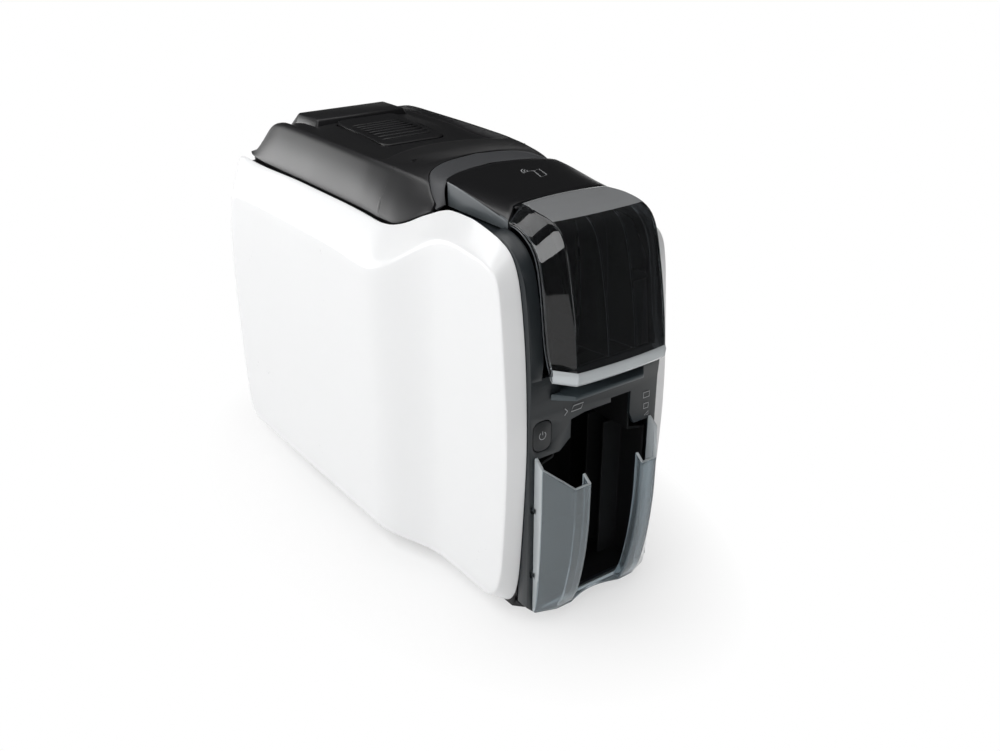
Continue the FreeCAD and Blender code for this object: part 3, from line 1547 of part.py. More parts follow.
def arch_plan(gap):
    """Plan of the arch trim's outer edge, closed round everything in front of it."""
    right = [(arch_place(place).x + gap, arch_place(place).y + gap) for place in arch_outer_shares]
    far_y = waist_front_y - overrun
    right[0] = (0, right[0][1])
    right.append((right[-1][0], far_y))
    return right + [(-x, y) for x, y in reversed(right[1:])]


def arch_inner_plan(gap):
    """Plan of all that lies behind the arch trim's inner edge."""
    right = [(arch_place(place).x, arch_place(place).y - gap) for place in arch_inner_shares]
    right.append((rear_half_width, right[-1][1]))
    right.append((rear_half_width, waist_rear_y))
    return right + [(-x, y) for x, y in right[:0:-1]]


def latch_plan(gap, low_z, high_z):
    return rounded_plan(latch_half_width + gap, latch_front_y - gap, latch_rear_y + gap, low_z, high_z,
                        latch_corner + gap)


def top_lid():
    outer = lid_form(0).fuse(lid_block(0))
    inner = lid_form(lid_wall).fuse(lid_block(lid_wall))
    shell = outer.cut(inner)
    shell = shell.cut(plan_prism(arch_plan(seam_gap), 0, overall_height * 2)).cut(hinge_web(seat_gap))
    return shell.cut(latch_plan(seam_gap * 2, deck_z - block_run, overall_height + overrun))


def arch_trim():
    """Band over the front of the lid: sections along its arch, from the left foot to the right foot."""
    centre = vec(0, waist_rear_y, spool_z)
    right = []
    for outer_share, inner_share in zip(arch_outer_shares, arch_inner_shares):
        outer, inner = arch_place(outer_share), arch_place(inner_share)
        deep = [p + (centre - p).normalize() * arch_wall for p in (outer, inner)]
        right.append([outer, inner, deep[1], deep[0]])
    left = [[mirror_point(p) for p in corners] for corners in right[:0:-1]]
    sections = [Part.makePolygon(corners + corners[:1]) for corners in left + right]
    return Part.makeLoft(sections, True, True)


def barrel_half():
    return plate_inner_x - seam_gap


def hinge_web(gap):
    """Web from the hinge barrel to the underside of the lid, grown by gap."""
    top_z = hinge_z + web_rise + hinge_arm_wall + gap
    outline = [(hinge_y + gap, hinge_z + hinge_ear_radius + gap), (hinge_y - web_run / 2 + gap, top_z),
               (hinge_y - web_run - gap, top_z), (hinge_y - web_run - gap, hinge_z + web_rise - gap),
               (hinge_y - hinge_ear_radius, hinge_z - gap)]
    return side_prism(outline, -barrel_half() - gap, barrel_half() + gap)


def lid_inner_frame():
    """Frame under the lid that carries the hinge barrel, the latch and the printhead."""
    plate = box((-frame_half_width, frame_front_y, frame_z),
                (frame_half_width, frame_rear_y, frame_z + frame_wall))
    slot_x = yoke_half_width - hook_width - hook_slot_gap
    slot = box((slot_x, yoke_front_y - hook_slot_gap, frame_z - overrun),
               (yoke_half_width + hook_slot_gap, yoke_front_y + hook_slot_length, frame_z + overrun))
    plate = plate.cut(slot).cut(mirrored(slot))
    rails = []
    for start, end in ((frame_front_y, yoke_front_y - hook_slot_gap),
                       (yoke_front_y + hook_slot_length, frame_rear_y)):
        rail = box((frame_half_width - frame_wall, start, frame_z - frame_rail),
                   (frame_half_width, end, frame_z + frame_wall / 2))
        rails += [rail, mirrored(rail)]
    barrel = rod(hinge_ear_radius, -barrel_half(), barrel_half(), hinge_y, hinge_z)
    foot_y = frame_rear_y - frame_rail
    top_z = frame_z + frame_wall
    web_points = [(hinge_y, hinge_z + hinge_ear_radius), (hinge_y - hinge_ear_radius, hinge_z),
                  (foot_y, frame_z), (foot_y, top_z), (frame_rear_y, top_z)]
    web = side_prism(web_points, -frame_half_width, frame_half_width)
    frame = joined([plate, barrel, web, hinge_web(0)] + rails)
    bore = rod(hinge_pin_radius + running_gap, barrel_half() - barrel_pin_depth, barrel_half() + overrun,
               hinge_y, hinge_z)
    frame = frame.cut(bore).cut(mirrored(bore))
    ears = []
    for x in (-pivot_ear_x, pivot_ear_x - frame_wall):
        ear = box((x, latch_pivot_y - pivot_ear_half, frame_z + frame_wall / 2),
                  (x + frame_wall, latch_pivot_y + pivot_ear_half, latch_pivot_z + pivot_ear_half))
        bore = rod(latch_pin_radius, x - overrun, x + frame_wall + overrun, latch_pivot_y, latch_pivot_z)
        ears.append(ear.cut(bore))
    posts = []
    for x in (-frame_post_x, frame_post_x):
        for y in (frame_front_y + overrun, frame_rear_y - overrun * 2):
            posts.append(box((x - screw_head_radius, y - screw_head_radius, frame_z + frame_wall / 2),
                             (x + screw_head_radius, y + screw_head_radius, deck_z - lid_wall - seat_gap)))
    return joined([frame] + ears + posts)


def lid_hinge_pins():
    start = plate_inner_x - hinge_arm_wall
    end = plate_inner_x + plate_wall + hinge_arm_wall
    pin = rod(hinge_pin_radius, start, end, hinge_y, hinge_z)
    return Part.makeCompound([pin, mirrored(pin)])


def door_hinge_pins():
    pin = rod(door_pin_radius, pin_lug_start_x - door_pin_reach, pin_lug_start_x + pin_lug_width,
              door_pivot_y, door_pivot_z)
    return Part.makeCompound([pin, mirrored(pin)])


# Latch

def latch_button_form(rise, half_width):
    """Button with its top raised by rise: high in the middle, dropped at the front edge."""
    skirt_z = latch_pivot_z + yoke_wall
    top_z = latch_top_z + rise
    front = vec(-half_width, latch_front_y, top_z - latch_front_drop)
    rear = vec(-half_width, latch_rear_y, top_z - latch_front_drop)
    middle = vec(-half_width, (latch_front_y + latch_rear_y) / 2, top_z)
    low_rear = vec(-half_width, latch_rear_y, skirt_z)
    low_front = vec(-half_width, latch_front_y, skirt_z)
    edges = [Part.Arc(front, middle, rear).toShape()] + curve([rear, low_rear, low_front, front], False)
    return Part.Face(Part.Wire(edges)).extrude(vec(2 * half_width, 0, 0))


def latch_button():
    skirt_z = latch_pivot_z + yoke_wall
    body = latch_button_form(0, latch_half_width).common(latch_plan(0, skirt_z, overall_height))
    hollow = latch_plan(-latch_wall, skirt_z - overrun, latch_top_z - latch_front_drop - latch_wall / 2)
    body = body.cut(hollow)
    raised = latch_button_form(latch_rib_height, latch_rib_half_length)
    ribs = []
    for index in range(latch_rib_count):
        y = latch_rib_front_y + index * latch_rib_pitch
        slab = box((-latch_rib_half_length, y, latch_top_z - latch_front_drop - latch_wall / 2),
                   (latch_rib_half_length, y + latch_rib_width, overall_height))
        ribs.append(slab.common(raised))
    return joined([body] + ribs)


def latch_yoke():
    """Lever under the button with a hook on each side, turning on the latch pins."""
    low = latch_pivot_z - yoke_wall
    rear_y = yoke_front_y + yoke_depth
    cross = box((-yoke_half_width, yoke_front_y, low), (yoke_half_width, rear_y, latch_pivot_z))
    spine = box((-spine_half_width, yoke_front_y, low), (spine_half_width, latch_pivot_y, latch_pivot_z))
    pad = box((-spine_half_width, yoke_front_y, low),
              (spine_half_width, rear_y, latch_pivot_z + yoke_wall - seat_gap / 2))
    barrel_end = pivot_ear_x - frame_wall - seat_gap
    barrel = rod(latch_pin_radius * 2, -barrel_end, barrel_end, latch_pivot_y, latch_pivot_z)
    hook_x = yoke_half_width - hook_width
    hook_y = yoke_front_y + hook_set
    arm = box((hook_x, hook_y, hook_low_z), (yoke_half_width, hook_y + hook_wall, latch_pivot_z))
    tooth = box((hook_x, hook_y - hook_tooth - hook_gap, hook_low_z),
                (yoke_half_width, hook_y + hook_wall / 2, striker_z - seam_gap))
    hook = joined([arm, tooth])
    lever = joined([cross, spine, pad, barrel, hook, mirrored(hook)])
    bore = rod(latch_pin_radius + running_gap, -barrel_end, barrel_end, latch_pivot_y, latch_pivot_z)
    return lever.cut(bore)


def latch_pins():
    return rod(latch_pin_radius, -pivot_ear_x, pivot_ear_x, latch_pivot_y, latch_pivot_z)


def latch_strikers():
    rear_y = yoke_front_y + hook_set - hook_gap
    bar = box((plate_inner_x - striker_reach, rear_y - striker_length, striker_z),
              (plate_inner_x, rear_y, striker_z + striker_wall))
    return Part.makeCompound([bar, mirrored(bar)])


# Printhead

def printhead_bracket():
    half = head_half_width + bracket_wall
    front_y = platen_y - bracket_depth / 2
    rear_y = platen_y + bracket_depth / 2
    low = path_z + head_gap + head_height + seat_gap
    high = frame_z - seat_gap
    block = box((-half, front_y, low), (half, rear_y, high))
    hollow = box((-half - overrun, front_y + bracket_wall, low + bracket_wall),
                 (half + overrun, rear_y - bracket_wall, high - bracket_wall))
    window = box((-bracket_window_half, front_y - overrun, low + bracket_window_gap),
                 (bracket_window_half, rear_y + overrun, high - bracket_window_gap))
    return block.cut(hollow).cut(window)


def printhead():
    low = path_z + head_gap
    top = low + head_height
    body = box((-head_half_width, platen_y - head_depth / 2, low + head_bead_radius),
               (head_half_width, platen_y + head_depth / 2, top))
    bead = rod(head_bead_radius, -card_half_width, card_half_width, platen_y, low + head_bead_radius)
    fins = []
    for side in (-1, 1):
        y = platen_y + side * head_depth / 3
        fins.append(box((-card_half_width, y - head_bead_radius, top - head_bead_radius),
                        (card_half_width, y + head_bead_radius, top)))
    return joined([body, bead] + fins)


def build():
    build_panels()
    save(base_tray(), "base_tray")
    save(rubber_feet(), "rubber_feet")
    save(case_screws(), "case_screws")
    save(chassis_plate(1), "right_chassis_plate")
    save(chassis_plate(-1), "left_chassis_plate")
    save(shaft_bushes(), "shaft_bushes")
    save(idler_studs(), "idler_studs")
    build_rollers()
    build_idlers()
    save(drive_motor(), "drive_motor")
    save(ribbon_motor(), "ribbon_motor")
    save(ribbon_pinion(), "ribbon_pinion")
    save(spool(takeup_y, takeup_roll_radius), "takeup_spool")
    save(spool(supply_y, supply_roll_radius), "supply_spool")
    save(takeup_hub(), "takeup_hub")
    save(spool_holders(), "spool_holders")
    save(card_path_plate(), "card_path_plate")
    save(input_hopper(), "input_hopper")
    save(card_weight(), "card_weight")
    save(front_bezel(), "front_bezel")
    save(power_button(), "power_button")
    save(button_board(), "button_board")
    save(manual_feed_lip(), "manual_feed_lip")
    save(front_top_cover(), "front_top_cover")
    save(hopper_door(), "hopper_door")
    save(output_bin(), "output_bin")
    save(output_guard(), "output_guard")
    save(rear_panel(), "rear_panel")
    save(power_inlet(), "power_inlet")
    save(usb_socket(), "usb_socket")
    save(network_socket(), "network_socket")
    save(main_board(), "main_board")
    save(top_lid(), "top_lid")
    save(arch_trim(), "arch_trim")
    save(lid_inner_frame(), "lid_inner_frame")
    save(lid_hinge_pins(), "lid_hinge_pins")
    save(door_hinge_pins(), "door_hinge_pins")
    save(latch_button(), "latch_button")
    save(latch_yoke(), "latch_yoke")
    save(latch_pins(), "latch_pins")
    save(latch_strikers(), "latch_strikers")
    save(printhead_bracket(), "printhead_bracket")
    save(printhead(), "printhead")


build()
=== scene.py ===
import json
import math

import bmesh
import bpy
from mathutils import Matrix, Vector


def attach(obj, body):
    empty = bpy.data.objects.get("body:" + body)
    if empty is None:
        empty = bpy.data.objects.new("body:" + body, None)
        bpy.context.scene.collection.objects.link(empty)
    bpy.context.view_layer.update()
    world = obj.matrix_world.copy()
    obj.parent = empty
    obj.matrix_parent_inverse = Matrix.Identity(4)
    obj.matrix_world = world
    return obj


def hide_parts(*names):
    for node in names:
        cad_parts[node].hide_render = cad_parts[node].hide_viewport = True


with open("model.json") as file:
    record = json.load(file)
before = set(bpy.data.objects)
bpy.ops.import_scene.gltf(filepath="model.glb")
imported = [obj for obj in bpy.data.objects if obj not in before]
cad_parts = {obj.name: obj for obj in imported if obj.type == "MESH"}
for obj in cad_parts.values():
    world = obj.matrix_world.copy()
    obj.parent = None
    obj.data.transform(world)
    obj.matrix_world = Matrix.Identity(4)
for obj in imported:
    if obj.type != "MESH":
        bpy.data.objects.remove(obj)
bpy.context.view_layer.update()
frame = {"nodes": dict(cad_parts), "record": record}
print("frame loaded,", len(frame["nodes"]), "nodes")

mm = 0.001
mergeReach = 0.02
scene = bpy.context.scene


# Shader maths

def maths(operation, swapped=False):
    # a method that puts one maths node behind a wire
    def act(wire, other):
        first, second = (other, wire) if swapped else (wire, other)
        return wire.finish.node("ShaderNodeMath", {"operation": operation}, {0: first, 1: second})

    return act


class Wire:
    # a node's output that can be added, multiplied and so on
    def __init__(self, finish, socket):
        self.finish = finish
        self.socket = socket

    __add__, __radd__ = maths("ADD"), maths("ADD", True)
    __sub__, __rsub__ = maths("SUBTRACT"), maths("SUBTRACT", True)
    __mul__, __truediv__ = maths("MULTIPLY"), maths("DIVIDE")
    atMost, atLeast = maths("MINIMUM"), maths("MAXIMUM")


class Finish:
    # one material and its nodes
    def __init__(self, name, tree=None):
        self.material = None
        if tree is None:
            self.material = bpy.data.materials.new(name)
            self.material.use_nodes = True
            tree = self.material.node_tree
        self.tree = tree
        self.tree.nodes.clear()

    def node(self, kind, settings=None, sockets=None, output=0):
        # any other node, with values or wires at its inputs
        made = self.tree.nodes.new(kind)
        for key, value in (settings or {}).items():
            setattr(made, key, value)
        for key, value in (sockets or {}).items():
            if isinstance(value, Wire):
                self.tree.links.new(value.socket, made.inputs[key])
            else:
                made.inputs[key].default_value = value
        return Wire(self, made.outputs[output]) if len(made.outputs) else made

    def place(self):
        return self.node("ShaderNodeTexCoord", output=3)

    def noise(self, scale, detail, place=None):
        sockets = {"Vector": place or self.place(), "Scale": scale, "Detail": detail}
        return self.node("ShaderNodeTexNoise", None, sockets)

    def clipped(self, level):
        return level.atLeast(0.0).atMost(1.0)

    def shade(self, level, low, high):
        # a grey or colour that runs from low to high with level
        blend = {"data_type": "RGBA"}
        return self.node("ShaderNodeMix", blend, {0: level, 6: (*low, 1), 7: (*high, 1)}, output=2)

    def bump(self, height, depth, strength):
        return self.node("ShaderNodeBump", None, {"Height": height, "Distance": depth, "Strength": strength})

    def surface(self, sockets):
        body = self.node("ShaderNodeBsdfPrincipled", None, sockets)
        self.node("ShaderNodeOutputMaterial", None, {"Surface": body})
        return self.material


# scales of the noise, how far colour and gloss wander with it, and how strongly the grain shows
mouldedWear = {"cloud": 24, "cloudGloss": 0.08, "fineGloss": 0.05, "bump": 0.5, "coatRough": 0.06}
metalWear = {
    "cloud": 70, "fine": 1500, "dark": 0.82, "cloudGloss": 0.2, "fineGloss": 0.1, "depth": 0.02,
    "bump": 0.4,
}
clearWear = {"cloud": 60, "dark": 0.95, "cloudGloss": 0.03}


def mouldedFinish(name, colour, rough, grain, depth, coat=0.0, specular=0.5, shift=0.03):
    # moulded plastic: a fine grain, faint wear in the gloss and slight shifts of colour
    made, wear = Finish(name), mouldedWear
    cloud = made.noise(wear["cloud"], 3)
    fine = made.noise(grain, 2)
    low = tuple(c * (1 - shift) for c in colour)
    high = tuple(min(c * (1 + shift), 1) for c in colour)
    sockets = {"Base Color": made.shade(cloud, low, high),
               "Roughness": rough + (cloud - 0.5) * wear["cloudGloss"] + (fine - 0.5) * wear["fineGloss"],
               "Normal": made.bump(fine, depth * mm, wear["bump"]),
               "Specular IOR Level": specular,
               "Coat Weight": coat,
               "Coat Roughness": wear["coatRough"]}
    return made.surface(sockets)


def metalFinish(name, colour, rough, stretch=(1, 1, 1)):
    made, wear = Finish(name), metalWear
    mapped = made.node("ShaderNodeMapping", None, {"Vector": made.place(), "Scale": stretch})
    cloud = made.noise(wear["cloud"], 4, mapped)
    fine = made.noise(wear["fine"], 2, mapped)
    low = tuple(c * wear["dark"] for c in colour)
    sockets = {"Base Color": made.shade(cloud, low, colour),
               "Metallic": 1.0,
               "Roughness": rough + (cloud - 0.5) * wear["cloudGloss"] + (fine - 0.5) * wear["fineGloss"],
               "Normal": made.bump(fine, wear["depth"] * mm, wear["bump"])}
    return made.surface(sockets)


def clearFinish(name, tint, rough, index, clearness=1.0):
    # smoky clear plastic: see-through, with faint handling marks in its gloss
    made, wear = Finish(name), clearWear
    cloud = made.noise(wear["cloud"], 4)
    low = tuple(c * wear["dark"] for c in tint)
    sockets = {"Base Color": made.shade(cloud, low, tint),
               "Roughness": (rough + (cloud - 0.5) * wear["cloudGloss"]).atLeast(0.0),
               "Transmission Weight": clearness,
               "IOR": index}
    return made.surface(sockets)


finishes = {
    "white_gloss": mouldedFinish("whiteShell", (0.80, 0.805, 0.81), 0.30, 700, 0.006, coat=0.35, shift=0.004),
    "charcoal_satin": mouldedFinish("charcoalLid", (0.008, 0.008, 0.009), 0.40, 3000, 0.035, specular=0.55),
    "deck_black": mouldedFinish("blackButton", (0.009, 0.009, 0.010), 0.36, 3000, 0.03),
    "grey_trim": mouldedFinish("greyArch", (0.055, 0.057, 0.061), 0.50, 3200, 0.03),
    "cover_black": mouldedFinish("blackCover", (0.007, 0.007, 0.008), 0.30, 2600, 0.02),
    "smoky_clear": clearFinish("smokyClear", (0.50, 0.57, 0.61), 0.03, 1.45, 0.84),
    "bezel_dark": mouldedFinish("darkBezel", (0.013, 0.017, 0.020), 0.36, 2600, 0.03),
    "bin_dark": mouldedFinish("binBlack", (0.004, 0.004, 0.0045), 0.55, 2000, 0.04, specular=0.25),
    "button_grey": mouldedFinish("buttonGrey", (0.017, 0.019, 0.021), 0.42, 2600, 0.03),
    "tray_dark": mouldedFinish("trayBlack", (0.009, 0.009, 0.010), 0.55, 1800, 0.05, specular=0.35),
    "foot_rubber": mouldedFinish("footRubber", (0.02, 0.02, 0.02), 0.8, 900, 0.08, specular=0.2),
    "plate_steel": metalFinish("zincSteel", (0.60, 0.61, 0.62), 0.38),
    "pin_steel": metalFinish("pinSteel", (0.62, 0.62, 0.63), 0.25, (1, 8, 8)),
    "motor_metal": metalFinish("motorCan", (0.52, 0.53, 0.55), 0.36, (1, 6, 6)),
    "bush_plastic": mouldedFinish("bushPlastic", (0.55, 0.54, 0.50), 0.45, 1500, 0.03),
    "gear_plastic": mouldedFinish("gearPlastic", (0.70, 0.69, 0.65), 0.42, 1500, 0.03),
    "pinion_brass": metalFinish("pinionBrass", (0.72, 0.55, 0.28), 0.30),
    "roller_rubber": mouldedFinish("rollerRubber", (0.05, 0.055, 0.06), 0.62, 1200, 0.05),
    "cleaner_rubber": mouldedFinish("cleanerRubber", (0.45, 0.18, 0.10), 0.38, 1200, 0.03),
    "pinch_metal": metalFinish("pinchSteel", (0.66, 0.66, 0.67), 0.22, (1, 8, 8)),
    "ribbon_film": mouldedFinish("ribbonFilm", (0.10, 0.02, 0.05), 0.28, 700, 0.02),
    "head_ceramic": mouldedFinish("headCeramic", (0.30, 0.27, 0.22), 0.35, 1400, 0.02),
    "board_green": mouldedFinish("boardGreen", (0.02, 0.12, 0.05), 0.42, 800, 0.03),
    "socket_black": mouldedFinish("socketBlack", (0.012, 0.012, 0.012), 0.42, 1800, 0.03),
    "socket_metal": metalFinish("socketShell", (0.66, 0.66, 0.67), 0.30),
}
# the door's clear plastic is darker than the guard's, and the pale edges of both are a painted highlight
doorClear = clearFinish("doorClear", (0.17, 0.18, 0.19), 0.02, 1.45)
clearEdgePaintedHighlight = clearFinish("clearEdgePaintedHighlight", (0.80, 0.84, 0.86), 0.16, 1.49, 0.45)
# a paler tint for the door's flat top, a painted reflection of the overhead light
doorTopPaintedReflection = clearFinish("doorTopPaintedReflection", (0.42, 0.43, 0.44), 0.10, 1.45, 0.45)
# a paler grey for the black cover's side walls, a painted reflection of the light from the left
coverSidePaintedReflection = mouldedFinish("coverSidePaintedReflection", (0.080, 0.091, 0.098), 0.34, 2600, 0.03)
# the feed lip's own blue-grey, lightened as a painted highlight
feedLipBluePaintedSheen = mouldedFinish("feedLipBluePaintedSheen", (0.050, 0.066, 0.074), 0.34, 2600, 0.03)
markGrey = mouldedFinish("markGrey", (0.42, 0.43, 0.44), 0.55, 2000, 0.01)


def dressNodes():
    # every kept node gets the finish that its record slot names
    slotOf = {nodeName: entry["slot"] for entry in frame["record"]["materials"]
              for nodeName in entry.get("nodes", [])}
    for nodeName, node in frame["nodes"].items():
        slotName = slotOf.get(nodeName)
        if slotName is None and node.material_slots and node.material_slots[0].material:
            slotName = node.material_slots[0].material.name.split(".")[0]
        if slotName in finishes:
            for holder in node.material_slots:
                holder.material = finishes[slotName]
        else:
            print("no finish for", nodeName, slotName)


dressNodes()
print("nodes dressed")


# Mesh tools

def between(a, b, share):
    return a + (b - a) * share


def gentle(level):
    # smooth step from 0 to 1
    level = min(max(level, 0.0), 1.0)
    return level * level * (3 - 2 * level)


def smoothRun(points, steps):
    # Catmull-Rom run through points of any dimension, with steps samples for each span
    made = []
    last = len(points) - 1
    for index in range(last):
        p0 = points[max(index - 1, 0)]
        p1, p2 = points[index], points[index + 1]
        p3 = points[min(index + 2, last)]
        reach = math.dist(p1, p2) or 1.0
        leadIn = reach / (math.dist(p0, p2) or 1.0)
        leadOut = reach / (math.dist(p1, p3) or 1.0)
        for step in range(steps):
            t = step / steps
            spread = zip(p0, p1, p2, p3)
            made.append(tuple(hermite(b, c, (c - a) * leadIn, (d - b) * leadOut, t) for a, b, c, d in spread))
    made.append(tuple(points[-1]))
    return made


def hermite(a, b, slopeA, slopeB, t):
    return ((2 * t ** 3 - 3 * t ** 2 + 1) * a + (t ** 3 - 2 * t ** 2 + t) * slopeA
            + (3 * t ** 2 - 2 * t ** 3) * b + (t ** 3 - t ** 2) * slopeB)


def smoothTable(rows):
    # function of one value, through rows (value, result, ...), with no overshoot
    rows = sorted(rows)
    keys = [row[0] for row in rows]

    def slopes(column):
        results = []
        steep = [(rows[i + 1][column] - rows[i][column]) / (keys[i + 1] - keys[i])
                 for i in range(len(rows) - 1)]
        for i in range(len(rows)):
            if i == 0 or i == len(rows) - 1:
                results.append(steep[min(i, len(steep) - 1)])
            elif steep[i - 1] * steep[i] <= 0:
                results.append(0.0)
            else:
                results.append(2 * steep[i - 1] * steep[i] / (steep[i - 1] + steep[i]))
        return results

    slopeColumns = {column: slopes(column) for column in range(1, len(rows[0]))}

    def read(value, column=1):
        value = min(max(value, keys[0]), keys[-1])
        index = 0
        while index < len(keys) - 2 and value > keys[index + 1]:
            index += 1
        span = keys[index + 1] - keys[index]
        slopeList = slopeColumns[column]
        return hermite(rows[index][column], rows[index + 1][column], slopeList[index] * span,
                       slopeList[index + 1] * span, (value - keys[index]) / span)

    return read


def evenRun(points, count):
    # count + 1 points at even steps of length along a run
    lengths = [0.0]
    for a, b in zip(points, points[1:]):
        lengths.append(lengths[-1] + math.dist(a, b))
    made = []
    index = 0
    for step in range(count + 1):
        goal = lengths[-1] * step / count
        while index < len(lengths) - 2 and lengths[index + 1] < goal:
            index += 1
        span = lengths[index + 1] - lengths[index] or 1.0
        share = (goal - lengths[index]) / span
        made.append(tuple(between(a, b, share) for a, b in zip(points[index], points[index + 1])))
    return made


def roundedRun(points, radius, steps=4):
    # straight runs whose corners are rounded by a quadratic curve
    points = [Vector(p) for p in points]
    made = [points[0]]
    for before, corner, after in zip(points, points[1:], points[2:]):
        reachIn = min(radius, (before - corner).length * 0.48)
        reachOut = min(radius, (after - corner).length * 0.48)
        start = corner + (before - corner).normalized() * reachIn
        end = corner + (after - corner).normalized() * reachOut
        for step in range(steps + 1):
            t = step / steps
            made.append(start.lerp(corner, t).lerp(corner.lerp(end, t), t))
    made.append(points[-1])
    return made


def bend(start, corner, end, t):
    # point of a quadratic curve round a corner
    return tuple(between(between(a, b, t), between(b, c, t), t) for a, b, c in zip(start, corner, end))


def bothSides(rows):
    # rows that run from the right side to the middle, carried on by their mirror image
    return [row + [(-x, y, z) for x, y, z in row[-2::-1]] for row in rows]


def rowAt(section, depths):
    # one row of points, each column taken from the section at a depth of its own
    made = []
    for column, y in enumerate(depths):
        x, z = section(y)[column]
        made.append((x, y, z))
    return made


def makeObject(name, points, faces):
    # points in millimetres
    mesh = bpy.data.meshes.new(name)
    mesh.from_pydata([Vector(p) * mm for p in points], [], faces)
    made = bpy.data.objects.new(name, mesh)
    scene.collection.objects.link(made)
    return made


def gridObject(name, rows, closed=False, capped=False):
    # a surface through rows of points; closed rows join up, capped ones also get both ends
    wide = len(rows[0])
    points = [p for row in rows for p in row]
    faces = []
    for first in range(0, len(points) - wide, wide):
        for column in range(wide if closed or capped else wide - 1):
            after = (column + 1) % wide
            faces.append((first + column, first + after, first + wide + after, first + wide + column))
    if capped:
        faces += [tuple(range(wide - 1, -1, -1)), tuple(range(len(points) - wide, len(points)))]
    return makeObject(name, points, faces)


def flipped(made):
    work = bmesh.new()
    work.from_mesh(made.data)
    bmesh.ops.reverse_faces(work, faces=work.faces)
    work.to_mesh(made.data)
    work.free()


def turnTowards(made, aim):
    # flip the faces where most of them look away from a direction
    if sum(face.normal.dot(Vector(aim)) * face.area for face in made.data.polygons) < 0:
        flipped(made)


def tidyMesh(made, aim=None):
    # merge doubled points and turn the faces outwards
    work = bmesh.new()
    work.from_mesh(made.data)
    bmesh.ops.remove_doubles(work, verts=work.verts, dist=mergeReach * mm)
    bmesh.ops.recalc_face_normals(work, faces=work.faces)
    work.to_mesh(made.data)
    work.free()
    if aim:
        turnTowards(made, aim)


def addShell(made, wall, rimFinish=0):
    shell = made.modifiers.new("wall", "SOLIDIFY")
    shell.material_offset_rim = rimFinish
    shell.thickness = wall * mm
    shell.offset = -1
    shell.use_quality_normals = True


def addBevel(made, width, segments=2, angle=40, finish=-1):
    edge = made.modifiers.new("edges", "BEVEL")
    edge.width = width * mm
    edge.segments = segments
    edge.limit_method = "ANGLE"
    edge.angle_limit = math.radians(angle)
    edge.use_clamp_overlap = True
    edge.material = finish


def addCut(made, cutter):
    cut = made.modifiers.new("cut", "BOOLEAN")
    cut.operation = "DIFFERENCE"
    cut.solver = "EXACT"
    cut.object = cutter


def settle(made, sharp=35):
    # turn the modifiers' result into the object's own plain mesh
    shown = made.evaluated_get(bpy.context.evaluated_depsgraph_get())
    mesh = bpy.data.meshes.new_from_object(shown)
    made.modifiers.clear()
    made.data = mesh
    mesh.shade_smooth()
    mesh.set_sharp_from_angle(angle=math.radians(sharp))
    return made


def shellPiece(name, rows, aim, size, closed=False, segments=2, angle=50, rimFinish=0, sharp=35, looks=()):
    # a wall with rounded edges behind rows of points; rim and edges can have a finish of their own
    made = gridObject(name, rows, closed)
    tidyMesh(made, aim)
    dress(made, *looks)
    addShell(made, size["wall"], rimFinish)
    addBevel(made, size["edge"], segments, angle, rimFinish or -1)
    return settle(made, sharp)


def solidPiece(name, rows, width, segments=2, angle=50, finish=-1, looks=()):
    # a closed body with rounded edges, through sections one after another
    made = gridObject(name, rows, capped=True)
    tidyMesh(made)
    dress(made, *looks)
    addBevel(made, width, segments, angle, finish)
    return settle(made)


def repaint(made, index, wanted):
    # another finish of the piece on the faces that are wanted
    for face in made.data.polygons:
        if wanted(face):
            face.material_index = index


def mirroredObject(made, name):
    copy = bpy.data.objects.new(name, made.data.copy())
    scene.collection.objects.link(copy)
    for vertex in copy.data.vertices:
        vertex.co.x = -vertex.co.x
    flipped(copy)
    return copy


def joinObjects(first, others):
    # one object from several, each already settled
    work = bmesh.new()
    for each in [first] + others:
        work.from_mesh(each.data)
    work.to_mesh(first.data)
    work.free()
    for each in others:
        bpy.data.objects.remove(each)


def dress(made, *finishList):
    # the finishes of a piece in order, before its modifiers pick from them
    for index, finish in enumerate(finishList):
        if index < len(made.data.materials):
            made.data.materials[index] = finish
        else:
            made.data.materials.append(finish)


def register(made, body, slotName, nodes=(), sharp=35):
    # the piece's finish, the body that it rides on and the nodes that it stands for
    if not made.data.materials:
        dress(made, finishes[slotName])
    made.data.shade_smooth()
    made.data.set_sharp_from_angle(angle=math.radians(sharp))
    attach(made, body)
    if nodes:
        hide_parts(*nodes)
    return made


# Side panels

